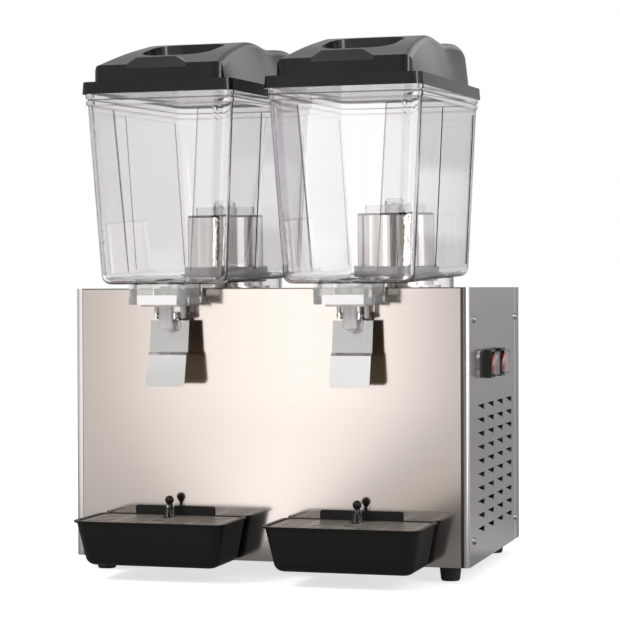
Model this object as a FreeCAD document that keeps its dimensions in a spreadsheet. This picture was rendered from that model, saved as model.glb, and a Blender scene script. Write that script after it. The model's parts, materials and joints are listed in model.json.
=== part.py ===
import FreeCAD, Part
import math
import os
import re
from FreeCAD import Placement, Rotation, Vector

# A twin tank juice dispenser in millimetres, built as it comes apart on a bench.
# X runs along the front, Y from the front panel to the rear and Z up from the floor.
# Everything above the cabinet leans forward a little so that the juice runs to the taps, so those
# pieces are drawn in a tank frame: its origin is the lid's front lower edge, its Y runs along the
# tank's rim to the rear and its Z up through the lid.

SIZES = (
    # cabinet
    ("cabinet_width", 430.0),
    ("cabinet_depth", 280.0),
    ("cabinet_height", 286.0),
    ("foot_height", 16.0),
    ("foot_radius", 11.5),
    ("foot_inset_x", 25.0),
    ("foot_inset_y", 25.0),
    ("gauge", 1.2),
    ("corner_radius", 5.0),
    ("front_return", 8.0),
    ("rear_return", 13.0),
    ("seam", 0.5),
    ("inside_clearance", 0.3),
    ("base_gauge", 2.0),
    # panel screws
    ("screw_inset_y", 25.0),
    ("screw_inset_low", 25.0),
    ("screw_inset_high", 33.0),
    ("screw_shank_radius", 2.0),
    ("screw_head_radius", 4.0),
    ("screw_head_height", 2.2),
    ("screw_length", 9.0),
    ("screw_clearance", 0.2),
    # side vents
    ("vent_length", 37.0),
    ("vent_height", 7.0),
    ("vent_columns", 4.0),
    ("vent_column_pitch", 51.0),
    ("vent_rows", 10.0),
    ("vent_row_pitch", 14.25),
    ("vent_lowest", 48.0),
    ("vent_centre", 137.5),
    # rear grille
    ("grille_slot_length", 60.0),
    ("grille_slot_height", 5.0),
    ("grille_columns", 4.0),
    ("grille_column_pitch", 78.0),
    ("grille_rows", 12.0),
    ("grille_row_pitch", 13.0),
    ("grille_lowest", 70.0),
    # switches on the right side
    ("plate_length", 182.0),
    ("plate_height", 28.0),
    ("plate_gauge", 1.5),
    ("plate_level", 221.6),
    ("switch_first_y", 84.5),
    ("switch_pitch", 55.0),
    ("switch_length", 25.0),
    ("switch_height", 30.0),
    ("switch_proud", 7.0),
    ("switch_wall", 2.5),
    ("switch_depth", 22.0),
    ("switch_well", 3.0),
    ("rocker_proud", 2.0),
    ("rocker_depth", 2.0),
    ("rocker_pivot_drop", 3.0),
    ("rocker_dish", 1.2),
    ("rocker_play", 1.6),
    ("rocker_throw", 14.0),
    ("rocker_axle_radius", 1.5),
    ("rocker_axle_reach", 1.0),
    ("cover_inset_y", 1.0),
    ("cover_inset_z", 2.5),
    ("cover_proud", 5.0),
    ("cover_wall", 1.0),
    ("fit_gap", 0.3),
    ("running_gap", 0.05),
    # tank and lid
    ("tank_pitch", 198.4),
    ("tank_lean", 1.8),
    ("lid_overhang", 67.0),
    ("rim_level", 505.5),
    ("tank_height", 200.0),
    ("tank_wall", 3.0),
    ("tank_top_width", 160.0),
    ("tank_bottom_width", 137.0),
    ("tank_front_top", 2.5),
    ("tank_front_bottom", 8.0),
    ("tank_rear_top", 301.0),
    ("tank_rear_bottom", 298.0),
    ("tank_corner", 16.0),
    ("tank_foot_round", 10.0),
    ("rim_proud", 1.2),
    ("rim_depth", 6.0),
    ("bead_proud", 0.8),
    ("bead_depth", 4.0),
    ("bead_gap", 3.0),
    ("panel_sink", 1.2),
    ("panel_drop", 20.0),
    ("panel_foot", 14.0),
    ("front_panel_top_width", 92.0),
    ("front_panel_foot_width", 68.0),
    ("side_panel_setback", 24.0),
    ("side_panel_break", 121.5),
    ("side_panel_rib", 7.0),
    ("lid_width", 165.0),
    ("lid_length", 303.5),
    ("lid_wall", 2.5),
    ("lid_skirt", 2.0),
    ("flange_height", 10.5),
    ("flange_corner", 11.0),
    ("flange_draft", 0.8),
    ("crown_inset", 8.0),
    ("crown_side_inset", 11.0),
    ("crown_corner", 12.0),
    ("crown_lean", 3.5),
    ("brow_height", 27.5),
    ("brow_width", 141.0),
    ("crest_setback", 155.0),
    ("crest_height", 59.5),
    ("crest_width", 114.0),
    ("valley_setback", 206.0),
    ("valley_height", 55.5),
    ("hump_setback", 256.0),
    ("hump_height", 58.5),
    ("tail_height", 50.0),
    ("tail_width", 132.0),
    ("tail_length", 20.0),
    ("shoulder_radius", 8.0),
    ("grip_width", 82.0),
    ("grip_length", 84.0),
    ("grip_setback", 50.0),
    ("grip_corner", 24.0),
    ("grip_draft", 3.0),
    ("grip_floor", 30.0),
    ("tab_foot_width", 66.0),
    ("tab_top_width", 42.0),
    ("tab_height", 7.0),
    ("tab_length", 38.0),
    ("tab_proud", 0.4),
    ("tab_root", 4.0),
    ("lid_vent_radius", 3.0),
    # cooling drum, seal, skirt and stirrer
    ("drum_setback", 222.0),
    ("drum_radius", 42.0),
    ("drum_height", 80.0),
    ("drum_flange_radius", 50.0),
    ("drum_flange_height", 3.0),
    ("drum_wall", 3.0),
    ("drum_sleeve", 3.0),
    ("shaft_clearance", 0.5),
    ("cap_height", 2.5),
    ("seal_thickness", 3.6),
    ("seal_height", 17.0),
    ("seal_lip", 4.0),
    ("seal_lip_height", 3.0),
    ("skirt_radius", 64.0),
    ("skirt_wall", 3.0),
    ("shaft_radius", 3.0),
    ("hub_radius", 11.0),
    ("hub_height", 13.0),
    ("blade_reach", 33.0),
    ("blade_height", 9.0),
    ("blade_thickness", 5.0),
    ("stirrer_motor_radius", 26.0),
    ("stirrer_motor_height", 42.0),
    # tap
    ("tap_width", 61.0),
    ("tap_front", -0.7),
    ("tap_rear", 54.3),
    ("tap_height", 20.5),
    ("tap_wall", 3.0),
    ("tap_hollow_width", 44.0),
    ("tap_floor", 6.5),
    ("outlet_radius", 10.0),
    ("valve_setback", 26.5),
    ("nozzle_radius", 7.5),
    ("nozzle_bore", 5.2),
    ("nozzle_length", 23.0),
    ("nozzle_flange_width", 42.0),
    ("nozzle_flange_height", 2.5),
    ("pivot_drop", 12.7),
    ("pivot_setback", 38.7),
    ("pivot_radius", 1.25),
    ("ear_width", 3.0),
    ("ear_spread", 26.0),
    ("plunger_radius", 2.2),
    ("cross_bar_radius", 1.2),
    ("cross_bar_slack", 0.25),
    ("plunger_stroke", 4.2),
    ("collar_drop", 5.0),
    ("collar_height", 2.4),
    ("tip_height", 3.0),
    ("spring_wire", 0.4),
    ("spring_radius", 4.6),
    ("spring_turns", 4.0),
    ("lever_arm_gauge", 1.5),
    ("lever_arm_height", 6.4),
    ("lever_arm_root", 5.0),
    ("lever_eye", 3.5),
    ("lever_slot_front", 1.3),
    ("lever_slot_rear", 0.3),
    ("lever_width", 42.5),
    ("lever_gauge", 1.2),
    ("lever_top_drop", 5.3),
    ("lever_upper_length", 32.5),
    ("lever_upper_lean", 5.6),
    ("lever_joggle", 5.0),
    ("lever_joggle_drop", 3.0),
    ("lever_lower_length", 32.5),
    ("lever_lower_lean", 8.3),
    ("lever_corner", 5.0),
    ("lever_arm_spread", 19.0),
    # drip tray
    ("tray_pitch", 204.0),
    ("tray_width", 161.0),
    ("tray_reach", 88.0),
    ("tray_clearance", 0.3),
    ("tray_rim_level", 63.0),
    ("tray_depth", 46.5),
    ("tray_side_draft", 8.5),
    ("tray_front_draft", 9.0),
    ("tray_rear_draft", 1.5),
    ("tray_ledge", 3.0),
    ("tray_corner", 13.0),
    ("tray_foot_round", 10.0),
    ("tray_wall", 2.5),
    ("tray_lip", 2.2),
    ("tray_lip_height", 2.0),
    ("tray_tab_width", 88.0),
    ("tray_tab_height", 9.0),
    ("tongue_width", 12.0),
    ("tongue_height", 5.0),
    ("tongue_length", 12.0),
    ("tongue_spread", 90.0),
    ("tongue_drop", 12.0),
    ("grate_gauge", 2.0),
    ("grate_drop", 1.0),
    ("grate_slot_length", 27.0),
    ("grate_slot_width", 4.0),
    ("grate_slot_rows", 5.0),
    ("grate_slot_pitch", 13.0),
    ("grate_slot_column_pitch", 33.0),
    ("grate_slot_first", 24.0),
    ("drain_radius", 6.5),
    ("float_setback", 18.0),
    ("float_radius", 4.7),
    ("float_guide_radius", 4.6),
    ("float_guide_height", 13.0),
    ("float_stem_radius", 1.8),
    ("stem_clearance", 0.4),
    ("float_disc_radius", 6.0),
    ("float_disc_height", 5.0),
    ("float_disc_clearance", 8.0),
    ("float_guide_foot", 1.5),
    ("drain_first_setback", 28.0),
    ("drain_second_setback", 52.0),
    # machinery inside
    ("compressor_radius", 52.0),
    ("compressor_height", 120.0),
    ("compressor_x", -118.0),
    ("compressor_y", 180.0),
    ("compressor_plate_width", 124.0),
    ("compressor_plate_depth", 90.0),
    ("compressor_plate_gauge", 3.0),
    ("compressor_dome_height", 22.0),
    ("compressor_dome_top", 28.6),
    ("compressor_seam_proud", 2.5),
    ("compressor_seam_height", 4.0),
    ("terminal_width", 36.0),
    ("terminal_proud", 14.0),
    ("terminal_level", 40.0),
    ("terminal_height", 40.0),
    ("grommet_radius", 7.0),
    ("grommet_height", 8.0),
    ("grommet_spread_x", 108.0),
    ("grommet_spread_y", 74.0),
    ("condenser_thickness", 34.0),
    ("condenser_length", 190.0),
    ("condenser_height", 150.0),
    ("condenser_x", 175.0),
    ("fin_thickness", 1.0),
    ("fin_pitch", 6.0),
    ("coil_tube_radius", 4.0),
    ("coil_columns_apart", 17.0),
    ("coil_first_level", 14.0),
    ("coil_level_pitch", 24.0),
    ("coil_levels", 6.0),
    ("coil_front_end", 8.0),
    ("coil_rear_end", 6.0),
    ("fan_radius", 66.0),
    ("fan_hub_radius", 16.0),
    ("fan_thickness", 16.0),
    ("fan_blades", 5.0),
    ("fan_blade_gauge", 1.6),
    ("fan_blade_chord", 30.0),
    ("fan_blade_pitch", 24.0),
    ("fan_tip_gap", 4.0),
    ("fan_ring_wall", 2.0),
    ("spindle_radius", 3.0),
    ("fan_level", 100.0),
    ("fan_y", 140.0),
    ("fan_motor_radius", 28.0),
    ("fan_motor_length", 50.0),
    ("fan_motor_nose_radius", 8.0),
    ("motor_post_width", 18.0),
    ("motor_post_depth", 40.0),
    ("motor_sole_width", 32.0),
    ("motor_sole_depth", 60.0),
    ("motor_sole_gauge", 2.0),
    ("shroud_gauge", 2.0),
    ("box_width", 90.0),
    ("box_depth", 60.0),
    ("box_height", 110.0),
    ("box_setback", 12.0),
    ("box_wall", 2.0),
    ("gland_radius", 9.0),
    ("gland_bore", 4.2),
    ("gland_proud", 8.0),
    ("gland_inset", 40.0),
    ("gland_level", 28.0),
    ("pipe_radius", 3.2),
    ("pipe_bend", 9.0),
    ("pipe_clearance", 0.4),
    ("pipe_spread", 18.0),
    ("drum_pipe_setback", 32.0),
    ("drum_pipe_rise", 15.0),
)

doc = FreeCAD.newDocument("juice_dispenser")
sheet = doc.addObject("Spreadsheet::Sheet", "sizes")
for row, (alias, number) in enumerate(SIZES, 1):
    sheet.set(f"A{row}", alias)
    sheet.set(f"B{row}", str(number))
    sheet.setAlias(f"B{row}", alias)
doc.recompute()

WORD = re.compile(r"[a-z][a-z_0-9]*")
MATHS = {"sin", "cos", "tan", "deg"}
nodes = []


class Sizes:
    """The sheet's cells as plain numbers."""

    def __getattr__(self, alias):
        return float(getattr(sheet, alias))


size = Sizes()


def cells(text):
    """An expression on the sheet's cells, written with their bare names."""
    return WORD.sub(lambda word: word.group() if word.group() in MATHS else f"sizes.{word.group()}", text)


# Places that several pieces share, as expressions on the sheet.
DECK_LEVEL = "(foot_height + cabinet_height)"
LEAN = "(tank_lean * 1 deg)"
# The deck's top seen from the tank frame, under the cooling drum's axis.
DRUM_FOOT = f"(({DECK_LEVEL} - rim_level - drum_setback * sin({LEAN})) / cos({LEAN}))"
DRUM_TOP = f"({DRUM_FOOT} + drum_height)"
TAP_FOOT = "(-tank_height - tap_height)"
FLANGE_FOOT = f"({TAP_FOOT} - nozzle_flange_height)"
PIVOT = f"({TAP_FOOT} - pivot_drop)"
# The row's origin stands in the middle of the footprint, switches, trays and gland included.
MIDDLE_X = "((plate_gauge + switch_proud + cover_proud - screw_head_height) / 2)"
MIDDLE_Y = "((cabinet_depth + gland_proud - tray_reach - tray_lip) / 2)"


def box(name, x, y, z):
    """A block between a low and a high expression along each axis."""
    solid = doc.addObject("Part::Box", name)
    for side, letter, (low, high) in zip(("Length", "Width", "Height"), "xyz", (x, y, z)):
        solid.setExpression(side, cells(f"({high}) - ({low})"))
        solid.setExpression(f"Placement.Base.{letter}", cells(low))
    return solid


TURNS = {
    "X": Rotation(Vector(0, 1, 0), 90),
    "Y": Rotation(Vector(1, 0, 0), -90),
    "Z": Rotation(),
}


def stretch(solid, centre, axis, span):
    """Puts a round primitive on its centre line, from the span's low to its high expression."""
    solid.setExpression("Height", cells(f"({span[1]}) - ({span[0]})"))
    solid.Placement = Placement(Vector(), TURNS[axis])
    others = [letter for letter in "XYZ" if letter != axis]
    for letter, place in zip(others, centre):
        solid.setExpression(f"Placement.Base.{letter.lower()}", cells(place))
    solid.setExpression(f"Placement.Base.{axis.lower()}", cells(span[0]))
    return solid


def rod(name, radius, centre, span, axis="Z"):
    """A cylinder; centre holds the two expressions across its axis, in X, Y, Z order."""
    solid = doc.addObject("Part::Cylinder", name)
    solid.setExpression("Radius", cells(radius))
    return stretch(solid, centre, axis, span)


def taper(name, low_radius, high_radius, centre, span, axis="Z"):
    solid = doc.addObject("Part::Cone", name)
    solid.setExpression("Radius1", cells(low_radius))
    solid.setExpression("Radius2", cells(high_radius))
    return stretch(solid, centre, axis, span)


def ball(name, radius, x, y, z):
    solid = doc.addObject("Part::Sphere", name)
    solid.setExpression("Radius", cells(radius))
    for letter, place in zip("xyz", (x, y, z)):
        solid.setExpression(f"Placement.Base.{letter}", cells(place))
    return solid


def join(name, *shapes):
    fused = doc.addObject("Part::MultiFuse", name)
    fused.Shapes = list(shapes)
    return fused


def cut(name, base, *tools):
    result = doc.addObject("Part::Cut", name)
    result.Base = base
    result.Tool = tools[0] if len(tools) == 1 else join(f"{name}_tools", *tools)
    return result


def shape(name, solid):
    """A piece whose form no primitive or feature fits, from numbers read off the sheet."""
    feature = doc.addObject("Part::Feature", name)
    feature.Shape = solid
    return feature


def stand(label, *pieces):
    """One node in the cabinet's upright frame."""
    node = doc.addObject("Part::Compound", f"{label}_node")
    node.Links = list(pieces)
    node.Label = label
    node.setExpression("Placement.Base.x", cells(f"-{MIDDLE_X}"))
    node.setExpression("Placement.Base.y", cells(f"-{MIDDLE_Y}"))
    nodes.append(node)
    return node


def lean(label, side, *pieces):
    """One node in a tank's leaning frame; side is -1 for the left tank and 1 for the right."""
    node = doc.addObject("Part::Compound", f"{label}_node")
    node.Links = list(pieces)
    node.Label = label
    node.Placement = Placement(Vector(), Rotation(Vector(1, 0, 0), 1))
    node.setExpression("Placement.Rotation.Angle", cells("tank_lean"))
    node.setExpression("Placement.Base.x", cells(f"{side} * tank_pitch / 2 - {MIDDLE_X}"))
    node.setExpression("Placement.Base.y", cells(f"-lid_overhang - {MIDDLE_Y}"))
    node.setExpression("Placement.Base.z", cells("rim_level"))
    nodes.append(node)
    return node


# Sketched pieces.


def sketch_on(body, role, name, offset=0.0):
    """A sketch on one of the body's own origin planes, moved along that plane's normal."""
    sketch = body.newObject("Sketcher::SketchObject", name)
    plane = next(item for item in body.Origin.OriginFeatures if item.Role == role)
    sketch.AttachmentSupport = [(plane, "")]
    sketch.MapMode = "FlatFace"
    sketch.AttachmentOffset = Placement(Vector(0, 0, offset), Rotation())
    return sketch


def outline(sketch, points):
    """A closed outline of straight lines; a point with a third number is rounded to that radius."""
    count = len(points)
    corners = []
    for index, point in enumerate(points):
        here = Vector(point[0], point[1], 0)
        if len(point) < 3:
            corners.append((here, None, here))
            continue
        before = Vector(*points[index - 1][:2], 0) - here
        after = Vector(*points[(index + 1) % count][:2], 0) - here
        turn = before.getAngle(after)
        reach = point[2] / math.tan(turn / 2)
        before.normalize()
        after.normalize()
        start = here + before * reach
        end = here + after * reach
        inward = before + after
        inward.normalize()
        depth = (reach**2 + point[2] ** 2) ** 0.5 - point[2]
        corners.append((start, here + inward * depth, end))
    for index, (start, middle, end) in enumerate(corners):
        if middle is not None:
            sketch.addGeometry(Part.Arc(start, middle, end), False)
        following = corners[(index + 1) % count][0]
        if end.distanceToPoint(following) > 1e-6:
            sketch.addGeometry(Part.LineSegment(end, following), False)


def rectangle(sketch, left, right, low, high, radius=None):
    corner = () if radius is None else (radius,)
    outline(sketch, [(x, y, *corner) for x, y in ((left, low), (right, low), (right, high), (left, high))])


def circle(sketch, x, y, radius):
    sketch.addGeometry(Part.Circle(Vector(x, y, 0), Vector(0, 0, 1), radius), False)


def pad(body, sketch, name, length):
    feature = body.newObject("PartDesign::Pad", name)
    feature.Profile = sketch
    feature.setExpression("Length", cells(length))
    return feature


def pocket(body, sketch, name, length):
    """A pocket that runs against its sketch's normal."""
    feature = body.newObject("PartDesign::Pocket", name)
    feature.Profile = sketch
    feature.setExpression("Length", cells(length))
    return feature


def repeat(body, feature, sketch, axis, name, pitch, count):
    """Copies a feature along one of its sketch's axes."""
    pattern = body.newObject("PartDesign::LinearPattern", name)
    pattern.Originals = [feature]
    pattern.Direction = (sketch, [axis])
    pattern.setExpression("Length", cells(f"{pitch} * ({count} - 1)"))
    pattern.setExpression("Occurrences", cells(count))
    body.Tip = pattern
    return pattern


deck_level = size.foot_height + size.cabinet_height
half_width = size.cabinet_width / 2


def side_screw_places():
    for y in (size.screw_inset_y, size.cabinet_depth - size.screw_inset_y):
        for z in (size.foot_height + size.screw_inset_low, deck_level - size.screw_inset_high):
            yield y, z


# Cabinet shell.


def front_panel():
    """A flat bright sheet between the two side panels' front returns, slotted for the trays."""
    body = doc.addObject("PartDesign::Body", "front_panel_body")
    face = sketch_on(body, "XZ_Plane", "front_face")
    edge = half_width - size.front_return - size.seam
    rectangle(face, -edge, edge, size.foot_height, deck_level)
    panel = pad(body, face, "front_sheet", "gauge")
    panel.Reversed = True
    slots = sketch_on(body, "XZ_Plane", "tray_slots", -size.gauge - 1)
    reach = size.tongue_width / 2 + size.tray_clearance
    high = size.tray_rim_level - size.tongue_drop
    for side in (-1, 1):
        for hand in (-1, 1):
            x = side * size.tray_pitch / 2 + hand * size.tongue_spread / 2
            rectangle(
                slots, x - reach, x + reach,
                high - size.tongue_height - size.tray_clearance, high + size.tray_clearance,
            )
    opening = pocket(body, slots, "tray_openings", "gauge + 2")
    opening.Reversed = True
    stand("front_panel", body)


def side_panel(label, side):
    """A side sheet that turns round the front corner, with pointed vents pressed through it."""
    body = doc.addObject("PartDesign::Body", f"{label}_body")
    plan = sketch_on(body, "XY_Plane", f"{label}_plan", size.foot_height)
    outer, inner = half_width, half_width - size.gauge
    rear = size.cabinet_depth - size.rear_return - size.seam
    radius, gauge = size.corner_radius, size.gauge
    outline(
        plan,
        [
            (side * (outer - size.front_return), 0),
            (side * outer, 0, radius),
            (side * outer, rear),
            (side * inner, rear),
            (side * inner, gauge, radius - gauge),
            (side * (outer - size.front_return), gauge),
        ],
    )
    pad(body, plan, f"{label}_sheet", "cabinet_height")
    # The cutting sketches stand 1 mm outside the sheet on the side they are cut from.
    start = outer + 1 if side > 0 else -inner + 1
    vents = sketch_on(body, "YZ_Plane", f"{label}_vent_row", start)
    first = size.vent_centre - size.vent_column_pitch * (size.vent_columns - 1) / 2
    for column in range(int(size.vent_columns)):
        front = first + column * size.vent_column_pitch - size.vent_length / 2
        outline(
            vents,
            [
                (front, size.vent_lowest + size.vent_height / 2),
                (front + size.vent_length, size.vent_lowest + size.vent_height / 2, 0.8),
                (front + size.vent_length, size.vent_lowest - size.vent_height / 2, 0.8),
            ],
        )
    row = pocket(body, vents, f"{label}_vents", "gauge + 2")
    repeat(body, row, vents, "V_Axis", f"{label}_vent_field", "vent_row_pitch", "vent_rows")
    holes = sketch_on(body, "YZ_Plane", f"{label}_hole_places", start)
    for y, z in side_screw_places():
        circle(holes, y, z, size.screw_shank_radius + size.screw_clearance)
    if side > 0:
        for number in range(2):
            y = size.switch_first_y + number * size.switch_pitch
            reach = size.switch_length / 2 - size.switch_wall
            rise = size.switch_height / 2 - size.switch_wall
            rectangle(holes, y - reach, y + reach, size.plate_level - rise, size.plate_level + rise)
    body.Tip = pocket(body, holes, f"{label}_holes", "gauge + 2")
    stand(label, body)


def rear_panel():
    """A folded rear sheet whose edges wrap onto both sides, with a slotted grille."""
    body = doc.addObject("PartDesign::Body", "rear_panel_body")
    plan = sketch_on(body, "XY_Plane", "rear_plan", size.foot_height)
    outer, inner, gauge = half_width, half_width - size.gauge, size.gauge
    back, start = size.cabinet_depth, size.cabinet_depth - size.rear_return
    bend = size.corner_radius / 2
    outline(
        plan,
        [
            (-outer, start), (-outer, back, bend), (outer, back, bend), (outer, start),
            (inner, start), (inner, back - gauge), (-inner, back - gauge), (-inner, start),
        ],
    )
    pad(body, plan, "rear_sheet", "cabinet_height")
    slots = sketch_on(body, "XZ_Plane", "grille_row", -size.cabinet_depth - 1)
    first = -size.grille_column_pitch * (size.grille_columns - 1) / 2
    for column in range(int(size.grille_columns)):
        x = first + column * size.grille_column_pitch
        rise = size.grille_slot_height / 2
        rectangle(
            slots, x - size.grille_slot_length / 2, x + size.grille_slot_length / 2,
            size.grille_lowest - rise, size.grille_lowest + rise, rise * 0.98,
        )
    row = pocket(body, slots, "grille_slots", "gauge + 2")
    row.Reversed = True
    repeat(body, row, slots, "V_Axis", "grille_field", "grille_row_pitch", "grille_rows")
    inlet = sketch_on(body, "XZ_Plane", "gland_place", -size.cabinet_depth - 1)
    circle(inlet, *gland_place(), size.gland_radius - 3 + size.screw_clearance)
    hole = pocket(body, inlet, "gland_hole", "gauge + 2")
    hole.Reversed = True
    body.Tip = hole
    stand("rear_panel", body)


def gland_place():
    return -half_width + size.gland_inset, size.foot_height + size.gland_level


def deck_and_base():
    """The top deck that carries the drums, and the base plate that carries the machinery."""
    body = doc.addObject("PartDesign::Body", "top_deck_body")
    plan = sketch_on(body, "XY_Plane", "deck_plan", deck_level)
    reach = half_width - size.gauge - size.inside_clearance
    front = size.gauge + size.inside_clearance
    rear = size.cabinet_depth - size.gauge - size.inside_clearance
    rectangle(plan, -reach, reach, front, rear, size.corner_radius)
    sheet_metal = pad(body, plan, "deck_sheet", "gauge")
    sheet_metal.Reversed = True
    holes = sketch_on(body, "XY_Plane", "deck_holes", deck_level + 1)
    for side in (-1, 1):
        circle(holes, side * size.tank_pitch / 2, drum_y(), size.hub_radius)
        circle(
            holes, side * size.tank_pitch / 2, drum_y() + size.drum_pipe_setback,
            size.pipe_radius + size.pipe_clearance,
        )
    body.Tip = pocket(body, holes, "shaft_holes", "gauge + 2")
    stand("top_deck", body)

    body = doc.addObject("PartDesign::Body", "base_plate_body")
    plan = sketch_on(body, "XY_Plane", "base_plan", size.foot_height)
    rectangle(plan, -reach, reach, front, rear, size.corner_radius)
    pad(body, plan, "base_sheet", "base_gauge")
    holes = sketch_on(body, "XY_Plane", "base_holes", size.foot_height + size.base_gauge + 1)
    for x, y in foot_places():
        circle(holes, x, y, size.screw_shank_radius + size.screw_clearance)
    body.Tip = pocket(body, holes, "foot_holes", "base_gauge + 2")
    stand("base_plate", body)


def drum_y():
    """Where the drum's leaning axis meets the deck, behind the front panel."""
    lean_turn = Rotation(Vector(1, 0, 0), size.tank_lean)
    along = lean_turn.multVec(Vector(0, 1, 0))
    up = lean_turn.multVec(Vector(0, 0, 1))
    start = Vector(0, -size.lid_overhang, size.rim_level) + along * size.drum_setback
    return (start + up * ((deck_level - start.z) / up.z)).y


def foot_places():
    reach = half_width - size.foot_inset_x
    for x in (-reach, reach):
        for y in (size.foot_inset_y, size.cabinet_depth - size.foot_inset_y):
            yield x, y


def feet():
    """Tapered rubber feet with a moulded stud through the base plate."""
    pieces = []
    for number, (x, y) in enumerate(foot_places()):
        hand = "-" if x < 0 else ""
        across = f"{hand}(cabinet_width / 2 - foot_inset_x)"
        along = "foot_inset_y" if y < size.cabinet_depth / 2 else "cabinet_depth - foot_inset_y"
        centre = (across, along)
        low = taper(f"foot_{number}_low", "foot_radius - 2.5", "foot_radius - 1.5", centre, ("0", "2"))
        high = taper(f"foot_{number}_high", "foot_radius - 1.5", "foot_radius", centre, ("2", "foot_height"))
        top = "foot_height + base_gauge + 3"
        stud = rod(f"foot_{number}_stud", "screw_shank_radius", centre, ("foot_height - 1", top))
        pieces.append(join(f"foot_{number}", low, high, stud))
    stand("rubber_feet", *pieces)


def side_screws():
    pieces = []
    for side in (-1, 1):
        hand = "-" if side < 0 else ""
        for number, _ in enumerate(side_screw_places()):
            name = f"side_screw_{'left' if side < 0 else 'right'}_{number}"
            along = "screw_inset_y" if number < 2 else "cabinet_depth - screw_inset_y"
            high = f"{DECK_LEVEL} - screw_inset_high"
            level = "foot_height + screw_inset_low" if number % 2 == 0 else high
            face = f"{hand}(cabinet_width / 2)"
            out = f"{hand}(cabinet_width / 2 + screw_head_height)"
            deep = f"{hand}(cabinet_width / 2 - screw_length)"
            spans = ((face, out), (deep, face)) if side > 0 else ((out, face), (face, deep))
            ends = ("screw_head_radius", "screw_head_radius * 0.7")
            ends = ends if side > 0 else ends[::-1]
            head = taper(f"{name}_head", *ends, (along, level), spans[0], "X")
            shank = rod(f"{name}_shank", "screw_shank_radius", (along, level), spans[1], "X")
            pieces.append(join(name, head, shank))
    stand("side_panel_screws", *pieces)


def rocker(name, pivot, y, well_reach, well_rise):
    """A dished rocker drawn about its own axle, tilted to the off position."""
    half = f"({well_reach} - 2 * fit_gap)"
    tall = f"({well_rise} - rocker_play)"
    paddle = box(
        f"{name}_paddle", ("-rocker_depth", "rocker_pivot_drop + rocker_proud"), (f"-{half}", half),
        (f"-{tall}", tall),
    )
    dish = "(switch_height * 1.1)"
    scoop = rod(
        f"{name}_scoop", dish, (f"{dish} + rocker_pivot_drop + rocker_proud - rocker_dish", "0"),
        ("-switch_length", "switch_length"), "Y",
    )
    reach = f"({well_reach} + rocker_axle_reach)"
    axle = rod(f"{name}_axle", "rocker_axle_radius", ("0", "0"), (f"-{reach}", reach), "Y")
    tilted = doc.addObject("Part::Compound", f"{name}_rocker_tilted")
    tilted.Links = [join(f"{name}_rocker_shape", cut(f"{name}_rocker_face", paddle, scoop), axle)]
    tilted.Placement = Placement(Vector(), Rotation(Vector(0, 1, 0), 1))
    tilted.setExpression("Placement.Rotation.Angle", cells("rocker_throw / 2"))
    for letter, place in zip("xyz", (pivot, y, "plate_level")):
        tilted.setExpression(f"Placement.Base.{letter}", cells(place))
    stand(f"{name}_rocker", tilted)


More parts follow.
